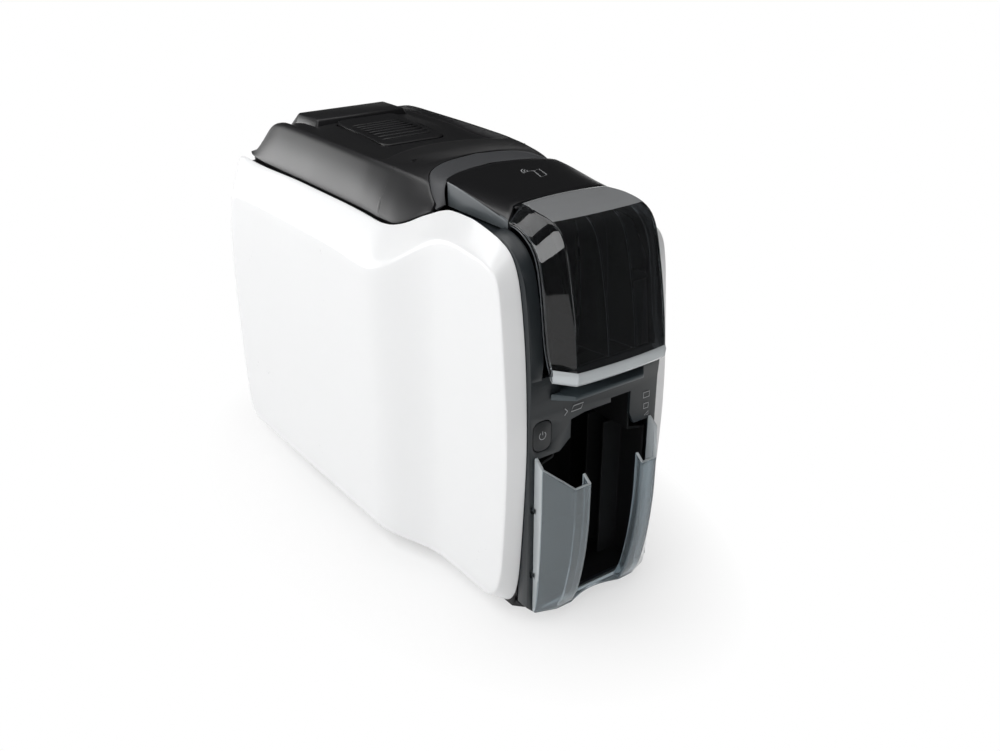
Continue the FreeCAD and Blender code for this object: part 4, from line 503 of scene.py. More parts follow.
sidePanel = {
    "rearHalf": 77.5, "frontHalf": 62.5, "waistRear": -28.0, "waistFront": -92.0,
    "inset": 12.0, "wall": 2.2, "edge": 0.7, "softness": 0.055, "lowRim": 4.0, "lowCrease": 12.5,
    "spineHeight": 118.0, "spineFront": -128.0, "spineRear": 140.0, "longSteps": 96,
    # top lines, as depth and height
    "rimTop": [(166, 231.2), (139, 230.5), (74, 232), (17, 232), (-9, 231.5), (-33, 230.4), (-42, 230.8),
               (-51, 233), (-58, 236), (-65, 239.8), (-73, 243.4), (-81, 246.8), (-90, 249),
               (-99.5, 249.4), (-109, 249.4), (-118.6, 248.2), (-128, 246.4)],
    "creaseTop": [(157, 206.4), (135, 206.5), (55, 207), (17, 206.6), (-14.5, 205), (-29, 204.2),
                  (-43, 206.7), (-55, 212), (-70, 222), (-87, 232), (-102, 236), (-111, 236.5),
                  (-126, 235)],
    # front and rear ends, from the top to the bottom: rim depth, rim height, crease depth, crease height
    "front": [(-128, 246.4, -126, 235), (-137, 244, -136, 234), (-146, 239.6, -145.5, 231),
              (-151, 233.5, -150, 226), (-154.6, 225, -152.4, 218), (-157, 214, -154, 208),
              (-159.4, 198, -155.4, 194), (-161.4, 178, -157, 176), (-162.8, 152, -159, 150),
              (-163.2, 122, -159.7, 122), (-161.8, 92, -158.8, 92), (-160, 66, -157.2, 67),
              (-158, 42, -155.2, 45), (-156, 27, -152.8, 31), (-152.8, 16, -149.4, 22),
              (-147, 8, -143.5, 15.6), (-139, 4.6, -137, 13), (-128, 4, -128, 12.5)],
    "rear": [(166, 231.2, 157, 206.4), (173, 229.8, 165, 204.6), (177.6, 226.4, 170.6, 201),
             (180.2, 220.6, 174.4, 194), (182, 208, 177.4, 184), (184.6, 180, 180.4, 168),
             (186.4, 150, 182.6, 142), (187.4, 118, 183.4, 114), (187.4, 90, 183, 88),
             (186, 56, 181.6, 58), (183.6, 28, 179, 32), (181, 14, 176, 20), (176, 6.4, 169.6, 14),
             (168, 4, 160, 12.5)],
    # shares of the bevel band and depths beyond its crease, as rings
    "bandShares": [0, 0.1, 0.22, 0.35, 0.48, 0.6, 0.72, 0.82, 0.9, 0.96, 1.0],
    "ringDepths": [0.6, 1.4, 2.6, 4.5, 8, 14, 24, 40, 60], "furthestPull": 0.85, "spineSlope": -8.0,
}


def outerHalf(y):
    # half width of the outside, wide at the rear and narrow at the front
    span = sidePanel["waistRear"] - sidePanel["waistFront"]
    turn = math.pi * min(max((sidePanel["waistRear"] - y) / span, 0.0), 1.0)
    blend = (1 + math.cos(turn)) / 2
    return between(sidePanel["frontHalf"], sidePanel["rearHalf"], blend)


rimTopAt = smoothTable(sidePanel["rimTop"])
creaseTopAt = smoothTable(sidePanel["creaseTop"])


def panelLoop():
    # closed loop of (rim y, rim z, crease y, crease z, spine y)
    size = sidePanel
    front, rear, count = size["front"], size["rear"], size["longSteps"]

    def run(rearRow, frontRow, step):
        share = step / count
        return (between(rearRow[0], frontRow[0], share), between(rearRow[2], frontRow[2], share),
                between(size["spineRear"], size["spineFront"], share))

    loop = []
    for step in range(count + 1):
        rimY, creaseY, spineY = run(rear[0], front[0], step)
        loop.append((rimY, rimTopAt(rimY), creaseY, creaseTopAt(creaseY), spineY))
    loop += [(*row, size["spineFront"]) for row in smoothRun(front, 4)[1:-1]]
    for step in range(count, -1, -1):
        rimY, creaseY, spineY = run(rear[-1], front[-1], step)
        loop.append((rimY, size["lowRim"], creaseY, size["lowCrease"], spineY))
    return loop + [(*row, size["spineRear"]) for row in smoothRun(rear, 5)[-2:0:-1]]


def panelPoint(y, z, slope):
    # slope is the share of the bevel still to go, below 0 beyond its softly bent crease
    drop = (slope + math.sqrt(slope * slope + 4 * sidePanel["softness"] ** 2)) / 2
    return outerHalf(y) - sidePanel["inset"] * drop, y, z


def panelRings():
    size = sidePanel
    loop = panelLoop()
    middle = size["spineHeight"]
    rings = [[(between(ry, cy, share), between(rz, cz, share), 1 - share) for ry, rz, cy, cz, sy in loop]
             for share in size["bandShares"]]
    for depth in size["ringDepths"]:
        ring = []
        for ry, rz, cy, cz, sy in loop:
            pull = min(depth / math.dist((cy, cz), (sy, middle)), size["furthestPull"])
            ring.append((between(cy, sy, pull), between(cz, middle, pull), -depth / size["inset"]))
        rings.append(ring)
    rings.append([(sy, middle, size["spineSlope"]) for ry, rz, cy, cz, sy in loop])
    return [[panelPoint(*row) for row in ring] for ring in rings]


def buildPanels():
    right = shellPiece("rightPanelShell", panelRings(), (1, 0, 0), sidePanel, True, 3, 40)
    left = mirroredObject(right, "leftPanelShell")
    register(right, "chassis", "white_gloss", ["right_side_panel"])
    register(left, "chassis", "white_gloss", ["left_side_panel"])


buildPanels()
print("side panels built")


# Top lid

topLid = {
    "wall": 2.2, "edge": 0.5, "ridgeDrop": 3.6, "frontDrop": 5.4, "ridgeRun": 1.3, "ridgeCorner": 9.0,
    "deckFront": 3.5, "deckFrontSide": -15.0, "deckSide": 50.0, "deepStart": 62.0, "deepRun": 34.0,
    "bendReach": 44.0, "stripRise": 2.4, "stripStart": 40, "stripRun": 22.0, "skirt": 5.6, "skirtInset": 2.2,
    "flankBow": 1.0, "bowRun": 20, "flankTop": 0.965, "flankPower": 1.06, "shoulder": 1.6, "crownPower": 2.4,
    "archGap": 0.5, "frontGuess": -50.0, "skirtFold": (0.4, 0.6), "cornerReach": 0.1, "shoulderFall": 0.04,
    "ridgeLead": 0.3, "ridgeStops": (0.2, 0.8, 1.4, 2.0, 2.6, 3.4, 5.0),
    # rows from the rear to the front: start, spacing, first and last count, and those near the deck's edge
    "rowRuns": [(172, 4.0, 0, 11), (132, 5.5, 1, 23), (-4, 3.3, 0, 7)],
    "edgeRows": (9, 6.5, 4.6, 3.4, 2.6, 2.0, 1.4, 0.8, 0.2, -0.5, -1.5, -3, -5),
    # depth and width of the ridge beside the sunk deck
    "ridge": [(-40, 2.0), (0, 2.0), (40, 2.3), (80, 2.8), (114, 3.4), (145, 4.0)],
    # depth, base half width, base height, crest half width, crest height, crown height
    "stations": [(172, 57, 232.6, 44.5, 234.8, 235.4), (165, 59.6, 232.2, 46.8, 240.6, 241.6),
                 (158, 61.0, 232.3, 49, 246.4, 247.8), (150, 62.0, 232.4, 50.8, 252, 253.8),
                 (141, 62.6, 232.4, 52.3, 256.8, 258.6), (130, 62.9, 232.5, 53.4, 260.6, 261.6),
                 (118, 63.0, 232.6, 53.9, 262.6, 262.9), (104, 63.0, 232.6, 54, 263, 263.2),
                 (60, 63.0, 232.8, 54, 263, 263.2), (0, 63.2, 232.8, 53.5, 262.5, 262.9),
                 (-15, 63.3, 232.6, 52.4, 262.1, 263), (-25, 63.4, 232.2, 51.5, 261.8, 263.6),
                 (-35, 62.8, 231.9, 50.4, 261, 264.6), (-42, 62.3, 231.8, 49.5, 260.5, 265.3),
                 (-51, 60.2, 234.2, 47.9, 259.6, 265), (-58, 57.7, 237.4, 46.4, 258.4, 264.4),
                 (-66, 54.5, 241.4, 45, 257, 263.6), (-73, 52.5, 245, 44, 255.8, 262.8),
                 (-81, 50.5, 248.2, 43.2, 254.8, 262)],
    # half widths, depths and heights of the arch's two edges, from the crown to the foot
    "archOuter": [(0, -42, 265.3), (25, -45.5, 264.3), (38, -50.5, 262), (44, -57, 258.5),
                  (47.5, -64, 253), (50.2, -72.5, 245.4)],
    "archInner": [(0, -60, 263.2), (23.5, -63.5, 262.5), (36, -68, 261), (41.5, -71, 258.2),
                  (43.8, -73.4, 254), (44.8, -76, 248)],
}

lidAt = smoothTable(topLid["stations"])
ridgeAt = smoothTable(topLid["ridge"])


def deckEdge(x):
    # depth of the sunk deck's front edge, which bows back in the middle
    size = topLid
    return between(size["deckFront"], size["deckFrontSide"], (min(abs(x) / size["deckSide"], 1.0)) ** 2)


def deckDrop(x, y, crest):
    # how far the sunk deck lies below the crown
    size = topLid
    corner = size["ridgeCorner"]
    across = crest - ridgeAt(y) - abs(x)
    along = y - deckEdge(x)
    reach = min(across, along)
    if across < corner and along < corner:
        reach = corner - math.hypot(corner - across, corner - along)
    drop = between(size["ridgeDrop"], size["frontDrop"], gentle((size["deepStart"] - y) / size["deepRun"]))
    rise = size["stripRise"] * gentle((y - size["deckFront"]) / size["stripStart"])
    rise = rise * gentle(across / size["stripRun"])
    return (drop - rise) * gentle(reach / size["ridgeRun"])


def lidSection(y):
    # right half of one cross section, from the skirt to the middle, as (x, z)
    size = topLid
    baseX, baseZ, crestX, crestZ, crown = (lidAt(y, column) for column in range(1, 6))
    bow = size["flankBow"] * gentle((crestZ - baseZ) / size["bowRun"])
    skirt, fold = baseX - size["skirtInset"], size["skirtFold"]
    run = [(skirt, baseZ - size["skirt"]), (skirt + fold[0], baseZ - fold[1])]
    for step in range(9):
        share = step / 9
        lean = share * size["flankTop"]
        run.append((between(baseX, crestX, lean ** size["flankPower"]) + bow * math.sin(math.pi * share),
                    between(baseZ, crestZ, lean)))
    start, corner = run[-1], (crestX + size["cornerReach"], crestZ + size["cornerReach"])
    innerX, innerZ = crestX - size["shoulder"], between(crestZ, crown, size["shoulderFall"])
    run += [bend(start, corner, (innerX, innerZ), step / 5) for step in range(1, 6)]
    ridge = crestX - ridgeAt(y)
    stops = [between(innerX, ridge + size["ridgeLead"], step / 3) for step in range(1, 4)]
    stops += [ridge - reach for reach in size["ridgeStops"]]
    stops += [stops[-1] * (1 - step / 14) for step in range(1, 15)]
    for x in stops:
        z = crown - (crown - innerZ) * (abs(x) / innerX) ** size["crownPower"]
        run.append((x, z - deckDrop(x, y, crestX)))
    return run


def roundedPlan(halfX, frontY, rearY, corner, steps=8):
    # closed outline of a rounded rectangle, anticlockwise seen from above
    points = []
    for cx, cy, start in ((halfX, rearY, 0), (-halfX, rearY, 1), (-halfX, frontY, 2), (halfX, frontY, 3)):
        mx = cx - math.copysign(corner, cx)
        my = cy - corner if cy == rearY else cy + corner
        for step in range(steps + 1):
            angle = math.pi / 2 * (start + step / steps)
            points.append((mx + corner * math.cos(angle), my + corner * math.sin(angle)))
    return points


def upright(outline, low, high):
    # both ends of an upright prism over an outline of (x, y)
    return [[(x, y, z) for x, y in outline] for z in (low, high)]


lidBlock = {
    "half": 38.0, "topHalf": 35.6, "front": 97.6, "frontTop": 100.0, "rearTop": 130.0, "rear": 149.5,
    "footHeight": 246.0, "deckHeight": 258.4, "rearHeight": 249.4, "endRise": 1.4, "top": 266.0,
    "edge": 3.0,
}


def blockPiece():
    size = lidBlock
    foot, deck, top = size["footHeight"], size["deckHeight"], size["top"]
    profile = [(size["front"], foot), (size["front"], deck), (size["frontTop"], top), (size["rearTop"], top),
               (size["rear"], size["rearHeight"]), (size["rear"], foot)]
    sections = ((-size["half"], deck + size["endRise"]), (-size["topHalf"], top), (size["topHalf"], top),
                (size["half"], deck + size["endRise"]))
    rows = [[(x, y, min(z, limit)) for y, z in profile] for x, limit in sections]
    return solidPiece("block", rows, size["edge"], 4, 22)


latchButton = {
    "half": 24.6, "front": 28.0, "rear": 96.0, "corner": 6.0, "gap": 0.9, "crown": 262.7, "drop": 2.7,
    "skirt": 6.0, "edge": 1.3, "ribCount": 8, "ribFront": 38.5, "ribPitch": 6.0, "ribHalf": 20.0,
    "ribWidth": 2.8, "ribRise": 0.85, "rise": 1.9, "riseStart": 82.0, "riseRun": 13.0, "wall": 1.6,
    "wellLow": 246, "wellHigh": 270, "ribTip": 0.02, "ribTaper": 6,
    "topShares": (0.9, 0.78, 0.64, 0.48, 0.32, 0.16, 0.0),
    # one rib's section, as shares of its width and rise
    "ribSection": [(-0.5, -0.5), (-0.42, 0.35), (-0.2, 0.85), (0, 1.0), (0.2, 0.85), (0.42, 0.35),
                   (0.5, -0.5)],
}


def lidRows():
    size = topLid
    edge = smoothRun(size["archOuter"], 12)
    plan = smoothTable([(x, y) for x, y, z in edge])
    middle = size["deckFront"]
    stations = {start - pitch * step for start, pitch, first, last in size["rowRuns"]
                for step in range(first, last)}
    stations = sorted(stations | {middle + reach for reach in size["edgeRows"]}, reverse=True)
    rows = []
    for station in stations:
        bell = gentle(1 - abs(station - middle) / size["bendReach"])
        rows.append(rowAt(lidSection, [station + (deckEdge(x) - middle) * bell
                                       for x, z in lidSection(station)]))
    # each column's own end at the arch, found step by step
    front = []
    for column in range(len(rows[0])):
        y = size["frontGuess"]
        for attempt in range(30):
            x = lidSection(y)[column][0]
            y = between(y, plan(min(abs(x), edge[-1][0])) + size["archGap"], 0.6)
        front.append(y)
    for step in range(1, 17):
        rows.append(rowAt(lidSection, [between(stations[-1], end, step / 16) for end in front]))
    return rows


def buildLid():
    size, pad = topLid, latchButton
    lid = gridObject("lidShell", bothSides(lidRows()))
    tidyMesh(lid, (0, 0, 1))
    addShell(lid, size["wall"])
    gap = pad["gap"]
    outline = roundedPlan(pad["half"] + gap, pad["front"] - gap, pad["rear"] + gap, pad["corner"] + gap)
    well = gridObject("well", upright(outline, pad["wellLow"], pad["wellHigh"]), capped=True)
    addCut(lid, well)
    addBevel(lid, size["edge"], 2, 50)
    settle(lid)
    block = blockPiece()
    addCut(block, well)
    settle(block)
    bpy.data.objects.remove(well)
    joinObjects(lid, [block])
    register(lid, "lid", "charcoal_satin", ["top_lid"])


buildLid()
print("lid built")


# Arch trim

archTrim = {
    "wall": 2.6, "edge": 0.5, "bulge": 0.5, "seam": 0.35, "lip": 3.2, "lipBack": 1.2,
    "centre": (0, -30, 215),
}


def buildArch():
    size = archTrim
    steps = 8
    rows = []
    for (ox, oy, oz), inner in zip(smoothRun(topLid["archOuter"], 12), smoothRun(topLid["archInner"], 12)):
        a, b = Vector((ox, oy - size["seam"], oz)), Vector(inner)
        out = ((a + b) / 2 - Vector(size["centre"])).normalized()
        row = [a.lerp(b, step / steps) + out * size["bulge"] * math.sin(math.pi * step / steps)
               for step in range(steps + 1)]
        deep = b - out * size["lip"] + Vector((0, size["lipBack"], 0))
        rows.append(row + [b.lerp(deep, 0.5), deep])
    full = [[Vector((-p.x, p.y, p.z)) for p in row] for row in rows[:0:-1]] + rows
    arch = shellPiece("archBand", full, (0, 0, 1), size)
    register(arch, "lid", "grey_trim", ["arch_trim"])


buildArch()
print("arch built")


# Latch button, with its ribs repeated by geometry nodes

def ribTree(count, pitch, material):
    tree = bpy.data.node_groups.new("ribRow", "GeometryNodeTree")
    sockets = (("Geometry", "INPUT", "Geometry"), ("Count", "INPUT", "Int"), ("Pitch", "INPUT", "Vector"),
               ("Geometry", "OUTPUT", "Geometry"))
    named = [tree.interface.new_socket(name, in_out=way, socket_type="NodeSocket" + kind)
             for name, way, kind in sockets]
    kinds = ("NodeGroupInput", "GeometryNodeMeshLine", "GeometryNodeInstanceOnPoints",
             "GeometryNodeRealizeInstances", "GeometryNodeSetMaterial", "NodeGroupOutput")
    entry, line, spread, real, paint, end = [tree.nodes.new(kind) for kind in kinds]
    paint.inputs["Material"].default_value = material
    links = ((entry, "Count", line, "Count"), (entry, "Pitch", line, "Offset"),
             (line, "Mesh", spread, "Points"), (entry, "Geometry", spread, "Instance"),
             (spread, "Instances", real, "Geometry"), (real, "Geometry", paint, "Geometry"),
             (paint, "Geometry", end, "Geometry"))
    for before, output, after, socket in links:
        tree.links.new(before.outputs[output], after.inputs[socket])
    return tree, {named[1].identifier: count, named[2].identifier: pitch}


def repeatObject(made, count, pitch, material):
    # repeat a mesh along a line and keep the result as its plain mesh
    tree, values = ribTree(count, [p * mm for p in pitch], material)
    rows = made.modifiers.new("rows", "NODES")
    rows.node_group = tree
    for identifier, value in values.items():
        rows[identifier] = value
    return settle(made)


def latchTop(y):
    size = latchButton
    middle = (size["front"] + size["rear"]) / 2
    reach = (size["rear"] - size["front"]) / 2
    fall = size["drop"] * max((middle - y) / reach, 0.0) ** 2
    return size["crown"] - fall + size["rise"] * gentle((y - size["riseStart"]) / size["riseRun"])


def buildLatchButton():
    size = latchButton
    outline = roundedPlan(size["half"], size["front"], size["rear"], size["corner"], 10)
    middleY = (size["front"] + size["rear"]) / 2
    skirtLow = latchTop(size["front"]) - size["skirt"]
    rings = [[(x, y, skirtLow) for x, y in outline]]

    def ringAt(shareOf, drop):
        ring = []
        for x, y in outline:
            share = shareOf(math.dist((x, y), (0, middleY)))
            py = middleY + (y - middleY) * share
            ring.append((x * share, py, latchTop(py) - drop))
        return ring

    for step in range(6):
        angle = math.pi / 2 * step / 5
        inset = size["edge"] * (1 - math.cos(angle))
        rings.append(ringAt(lambda reach: 1 - inset / reach, size["edge"] * (1 - math.sin(angle))))
    for share in size["topShares"]:
        rings.append(ringAt(lambda reach: share, 0))
    button = gridObject("latchPad", rings, closed=True)
    tidyMesh(button, (0, 0, 1))
    addShell(button, size["wall"])
    settle(button)
    rib = gridObject("rib", ribRows(), capped=True)
    tidyMesh(rib)
    repeatObject(rib, size["ribCount"], (0, size["ribPitch"], 0), finishes["deck_black"])
    for vertex in rib.data.vertices:
        vertex.co.z += latchTop(vertex.co.y / mm) * mm
    joinObjects(button, [rib])
    register(button, "latch", "deck_black", ["latch_button"])


def ribRows():
    # one low rounded rib across the button, thinning out towards its ends
    size = latchButton
    rows = []
    for step in range(17):
        share = step / 8 - 1
        thin = math.sqrt(max(1 - share ** size["ribTaper"], 0.0)) or size["ribTip"]
        rows.append([(share * size["ribHalf"], size["ribFront"] + along * size["ribWidth"] * thin,
                      up * size["ribRise"] * (thin if up > 0 else 1)) for along, up in size["ribSection"]])
    return rows


buildLatchButton()
print("latch button built")


# Front top cover

topCover = {
    "half": 42.0, "low": 246.4, "crownRear": 263.0, "crownFront": 259.4, "rear": -60.0, "front": -126.4,
    "wall": 2.2, "edge": 0.25, "fullness": 7.0, "sheenTilt": 0.85,
    # steps in and down round the side edge, then steps in across the top
    "corner": [(0, 1.0), (0, 0.4), (0.12, 0.1)],
    "insets": (0.5, 1.2, 2.2, 3.6, 5.4, 7.8, 11, 15, 20, 26, 33, 42),
    # depth and height of the side edge
    "sideEdge": [(-58, 262.0), (-78.7, 260.6), (-97, 258.0), (-111.7, 255.4), (-126, 253.0),
                 (-134, 251.6)],
    # half width and depth of the front and rear edges
    "frontEdge": [(0, -126.0), (20, -126.3), (29, -126.8), (34, -127.3), (36.5, -129.8), (42, -133.3)],
    "rearEdge": [(0, -60.6), (23.5, -64.1), (36, -68.6), (41.5, -71.8), (42, -74.0)],
}

coverEdgeAt = smoothTable(topCover["sideEdge"])
coverFrontAt = smoothTable(topCover["frontEdge"])
coverRearAt = smoothTable(topCover["rearEdge"])


def coverTop(x, y):
    size = topCover
    share = (size["rear"] - y) / (size["rear"] - size["front"])
    crown = between(size["crownRear"], size["crownFront"], share)
    return crown - (crown - coverEdgeAt(y)) * (abs(x) / size["half"]) ** size["fullness"]


def coverSection(y):
    size = topCover
    edge, half, low = coverEdgeAt(y), size["half"], size["low"]
    run = [(half, low), (half, between(low, edge, 0.5))]
    run += [(half - inward, edge - down) for inward, down in size["corner"]]
    return run + [(half - inset, coverTop(half - inset, y)) for inset in size["insets"]]


def buildCover():
    size = topCover
    columns = [x for x, z in coverSection(size["rear"])]
    rows = [rowAt(coverSection, [between(coverRearAt(x), coverFrontAt(x), step / 16) for x in columns])
            for step in range(17)]
    cover = shellPiece("coverShell", bothSides(rows), (0, 0, 1), size, angle=60, sharp=30,
                       looks=(finishes["cover_black"], coverSidePaintedReflection))
    # the steep side walls take the paler grey, a painted reflection
    repaint(cover, 1, lambda face: abs(face.normal.x) > size["sheenTilt"])
    register(cover, "chassis", "cover_black", ["front_top_cover"], 30)


# Door hinge pins, short and below the cover's top

doorPins = {"radius": 0.9, "start": 30.0, "end": 34.0, "y": -129.6, "z": 257.0, "steps": 20, "edge": 0.3}


def buildDoorPins():
    size = doorPins
    circle = arcPoints((size["y"], size["z"]), size["radius"], 0, 360, size["steps"])[:-1]
    rows = [[(x, y, z) for y, z in circle] for x in (size["start"], size["end"])]
    pin = solidPiece("rightDoorPin", rows, size["edge"])
    other = mirroredObject(pin, "leftDoorPin")
    for each, nodes in ((pin, ["door_hinge_pins"]), (other, [])):
        dress(each, finishes["charcoal_satin"])
        register(each, "chassis", "pin_steel", nodes)


# Signs made of flat strokes, laid on a surface

coverSign = {
    "width": 0.5, "lift": 0.07, "card": [(12.2, -86.5), (17.3, -85.2), (14.6, -96.4), (8.8, -98.2)],
    "link": [(9.6, -85.4), (12.2, -86.5)], "centre": (10.2, -85.7), "radii": [2.0, 3.7, 5.4],
    "from": 106, "to": 196,
}


def stroke(points, width, closed=False):
    # quads along a line, as pairs of points on its two sides
    count = len(points)
    sides = []
    for index, (u, v) in enumerate(points):
        before = points[index - 1] if index or closed else points[index]
        after = points[(index + 1) % count] if index < count - 1 or closed else points[index]
        along = Vector((after[0] - before[0], after[1] - before[1])).normalized() * width / 2
        sides.append(((u - along.y, v + along.x), (u + along.y, v - along.x)))
    return sides + sides[:1] if closed else sides


def arcPoints(centre, radius, start, end, steps=14):
    angles = [math.radians(between(start, end, step / steps)) for step in range(steps + 1)]
    return [(centre[0] + radius * math.cos(angle), centre[1] + radius * math.sin(angle)) for angle in angles]


def buildSign(name, strokes, place, body):
    points, faces = [], []
    for sides in strokes:
        first = len(points)
        points += [place(*point) for pair in sides for point in pair]
        faces += [(first + 2 * step, first + 2 * step + 1, first + 2 * step + 3, first + 2 * step + 2)
                  for step in range(len(sides) - 1)]
    sign = makeObject(name, points, faces)
    turnTowards(sign, (0, -1, 1))
    dress(sign, markGrey)
    register(sign, body, "grey_trim")


def buildCoverSign():
    size = coverSign
    strokes = [stroke(size["card"], size["width"], True), stroke(size["link"], size["width"])]
    strokes += [stroke(arcPoints(size["centre"], radius, size["from"], size["to"]), size["width"])
                for radius in size["radii"]]
    buildSign("contactlessSign", strokes, lambda x, y: (x, y, coverTop(x, y) + size["lift"]), "chassis")


buildCover()
buildDoorPins()
buildCoverSign()
print("cover built")


# Hopper door, clear, with a bevelled facet down each side, a grip lip and two inner fins

hopperDoor = {
    "half": 42.0, "faceHalf": 33.0, "topHalf": 30.6, "topBow": 3.8, "topRows": 7, "crown": 1.5,
    "crownRows": 6, "reflectionTilt": 0.955, "reflectionLow": 256.0, "wall": 2.0, "edge": 0.5, "corner": 0.8,
    "backInset": 0.4, "firstInset": 2.0, "faceInset": 1.6, "finX": 10.0, "finWall": 1.4,
    "finEdgeWidth": 0.2, "finSink": (0.5, 0.4), "lipHeight": 172.8, "lipEdge": 0.8, "lipNarrowing": 90,
    # depth and height, down the front, the side and the side's back edge
    "front": [(-127.4, 259.5), (-136, 259.5), (-146, 259.0), (-159, 257.2), (-167, 253.4),
              (-171.6, 247.5), (-174.8, 239), (-177.4, 229), (-180.6, 215), (-183, 202), (-185, 188),
              (-186.2, 175.5)],
    "side": [(-134.4, 251.6), (-139, 251.2), (-144, 250), (-149.4, 248), (-155, 244.2), (-159.6, 238.6),
             (-162.6, 230), (-165, 217), (-167, 203), (-169, 190), (-171.6, 180), (-174.4, 173.5)],
    "back": [(-134.2, 249.4), (-138.6, 249), (-143, 247.8), (-147.6, 245.6), (-153, 241.6), (-157.4, 235),
             (-160.4, 225), (-162.8, 211), (-164.6, 198), (-166.6, 186), (-170.4, 175), (-174.2, 169.6)],
    # the grip's section, as steps out and up
    "lipSection": [(0.0, 4.2), (-0.7, 1.8), (-0.4, -2.6), (1.4, -4.6), (5.4, -4.6), (6.4, -2.6),
                   (2.4, -1.4), (2.2, 3.6)],
    "finEdge": [(-147, 255.8), (-151.4, 252.4), (-155, 246), (-157.4, 234), (-159, 214), (-158.6, 194),
                (-157, 178)],
}


def doorRow(index, frontPoint, sidePoint, backPoint):
    # right half across the door, from the side's back edge to the middle
    size = hopperDoor
    fy, fz = frontPoint
    top = 1 - gentle(index / size["topRows"])
    faceHalf = between(size["faceHalf"], size["topHalf"], top)
    bow = size["topBow"] * top
    corners = [(size["half"] - size["backInset"], *backPoint), (size["half"], *sidePoint),
               (faceHalf, fy - bow, fz), (0, fy - bow, fz)]
    run = roundedRun(corners, size["corner"], 4)
    # two more points keep the facet flat up to its ends
    run[6:6] = [run[5].lerp(run[6], 0.1), run[5].lerp(run[6], 0.9)]
    row = [tuple(p) for p in run[:-1]]
    x = faceHalf - size["firstInset"]
    row.append((x, fy - bow * (x / faceHalf) ** 2, fz))
    for step in range(1, 9):
        x = (faceHalf - size["faceInset"]) * (1 - step / 8)
        push = size["crown"] * (1 - (x / faceHalf) ** 2) * gentle(index / size["crownRows"])
        row.append((x, fy - push - bow * (x / faceHalf) ** 2, fz))
    return row


def buildDoor():
    size = hopperDoor
    lines = [evenRun(smoothRun(size[line], 8), 40) for line in ("front", "side", "back")]
    rows = [doorRow(index, *points) for index, points in enumerate(zip(*lines))]
    # rim and rounded edges take the pale finish, a painted highlight
    door = shellPiece("doorShell", bothSides(rows), (0, -1, 0), size, rimFinish=1,
                      looks=(doorClear, clearEdgePaintedHighlight, doorTopPaintedReflection))
    # the upward faces near the top take the paler tint, a painted reflection
    repaint(door, 2, lambda face: face.normal.z > size["reflectionTilt"] and face.center.z > size["reflectionLow"] * mm)
    joinObjects(door, [doorLip(rows[-1])] + [doorFin(side, lines[0]) for side in (-1, 1)])
    register(door, "door", "smoky_clear", ["hopper_door"])


def doorLip(lastRow):
    # thick grip along the bottom edge, following the door's front in plan
    size = hopperDoor
    rows = []
    for x, y, z in bothSides([lastRow[4:]])[0]:
        rows.append([(x * (1 - out / size["lipNarrowing"]), y + out, size["lipHeight"] + up)
                     for out, up in size["lipSection"]])
    lip = solidPiece("lip", rows, size["lipEdge"], 3, 30, looks=(clearEdgePaintedHighlight,))
    # the whole grip takes the pale edge finish, a painted highlight
    repaint(lip, 1, lambda face: True)
    return lip


def doorFin(side, front):
    size = hopperDoor
    back, down = size["finSink"]
    inner = [(y + size["wall"] * back, z - size["wall"] * down) for y, z in front[9:-2]]
    edge = evenRun(smoothRun(size["finEdge"], 6), len(inner) - 1)
    x, half = size["finX"] * side, size["finWall"] / 2
    rows = [[(x - half, *near), (x + half, *near), (x + half, *far), (x - half, *far)]
            for near, far in zip(inner, edge)]
    # the fins' rounded edges take the pale edge finish, a painted highlight
    return solidPiece("fin", rows, size["finEdgeWidth"], finish=1, looks=(doorClear, clearEdgePaintedHighlight))


buildDoor()
print("door built")


# Signs on the bezel and the power button, as strokes in x and z

frontSigns = {
    "y": -165.45, "width": 0.5, "buttonWidth": 0.4, "ringFrom": 125, "ringTo": 415,
    "barLow": 0.2, "barHigh": 1.2,
    "status": [[(38.6, 132), (43.6, 132), (43.6, 135.6), (38.6, 135.6)],
               [(39.4, 124.4), (43.2, 124.4), (43.2, 127.8), (39.4, 127.8)],
               [(40.2, 119.4), (43.6, 119.4), (43.6, 121.8)]],
    "card": [(-19.5, 140.6), (-12, 140.6), (-10.2, 144), (-17.7, 144)],
    "arrow": [(-24.4, 139.6), (-22.2, 141.8), (-24.4, 144)], "power": (-40.5, 131.4),
    "powerRadius": 2.4,
}


def buildFrontSigns():
    size = frontSigns

    def laid(x, z):
        return x, size["y"], z

    strokes = [stroke(outline, size["width"], True) for outline in size["status"] + [size["card"]]]
    buildSign("statusSigns", strokes + [stroke(size["arrow"], size["width"])], laid, "chassis")
    (x, z), radius = size["power"], size["powerRadius"]
    ring = arcPoints(size["power"], radius, size["ringFrom"], size["ringTo"])
    bar = [(x, z + radius * size["barLow"]), (x, z + radius * size["barHigh"])]
    buildSign("powerSign", [stroke(line, size["buttonWidth"]) for line in (ring, bar)], laid, "button")


buildFrontSigns()
print("front signs built")


# Bezel shoulders, which rise towards the door's sides

bezelShoulder = {
    "outer": 49.6, "inner": 42.8, "wall": 1.3, "edge": 0.35, "lift": 0.72, "rows": 40, "fold": 1.0,
    "shares": (0.0, 0.12, 0.3, 0.5, 0.7, 0.86, 1.0),
    # depth and height, down the bezel's outline and down the door's side
    "low": [(-127, 244.9), (-133.5, 244.6), (-141, 243.1), (-148.1, 240.0), (-153, 235.6),
            (-156.6, 230.2), (-161.4, 212.9), (-164.6, 186.3), (-165.9, 168)],
    "high": [(-133.4, 249.4), (-140, 248.4), (-146, 246.2), (-152, 242.4), (-156.8, 236.6), (-160.2, 229),
             (-163.2, 216), (-165.4, 203), (-167.4, 190), (-168.6, 180), (-167, 168)],
}


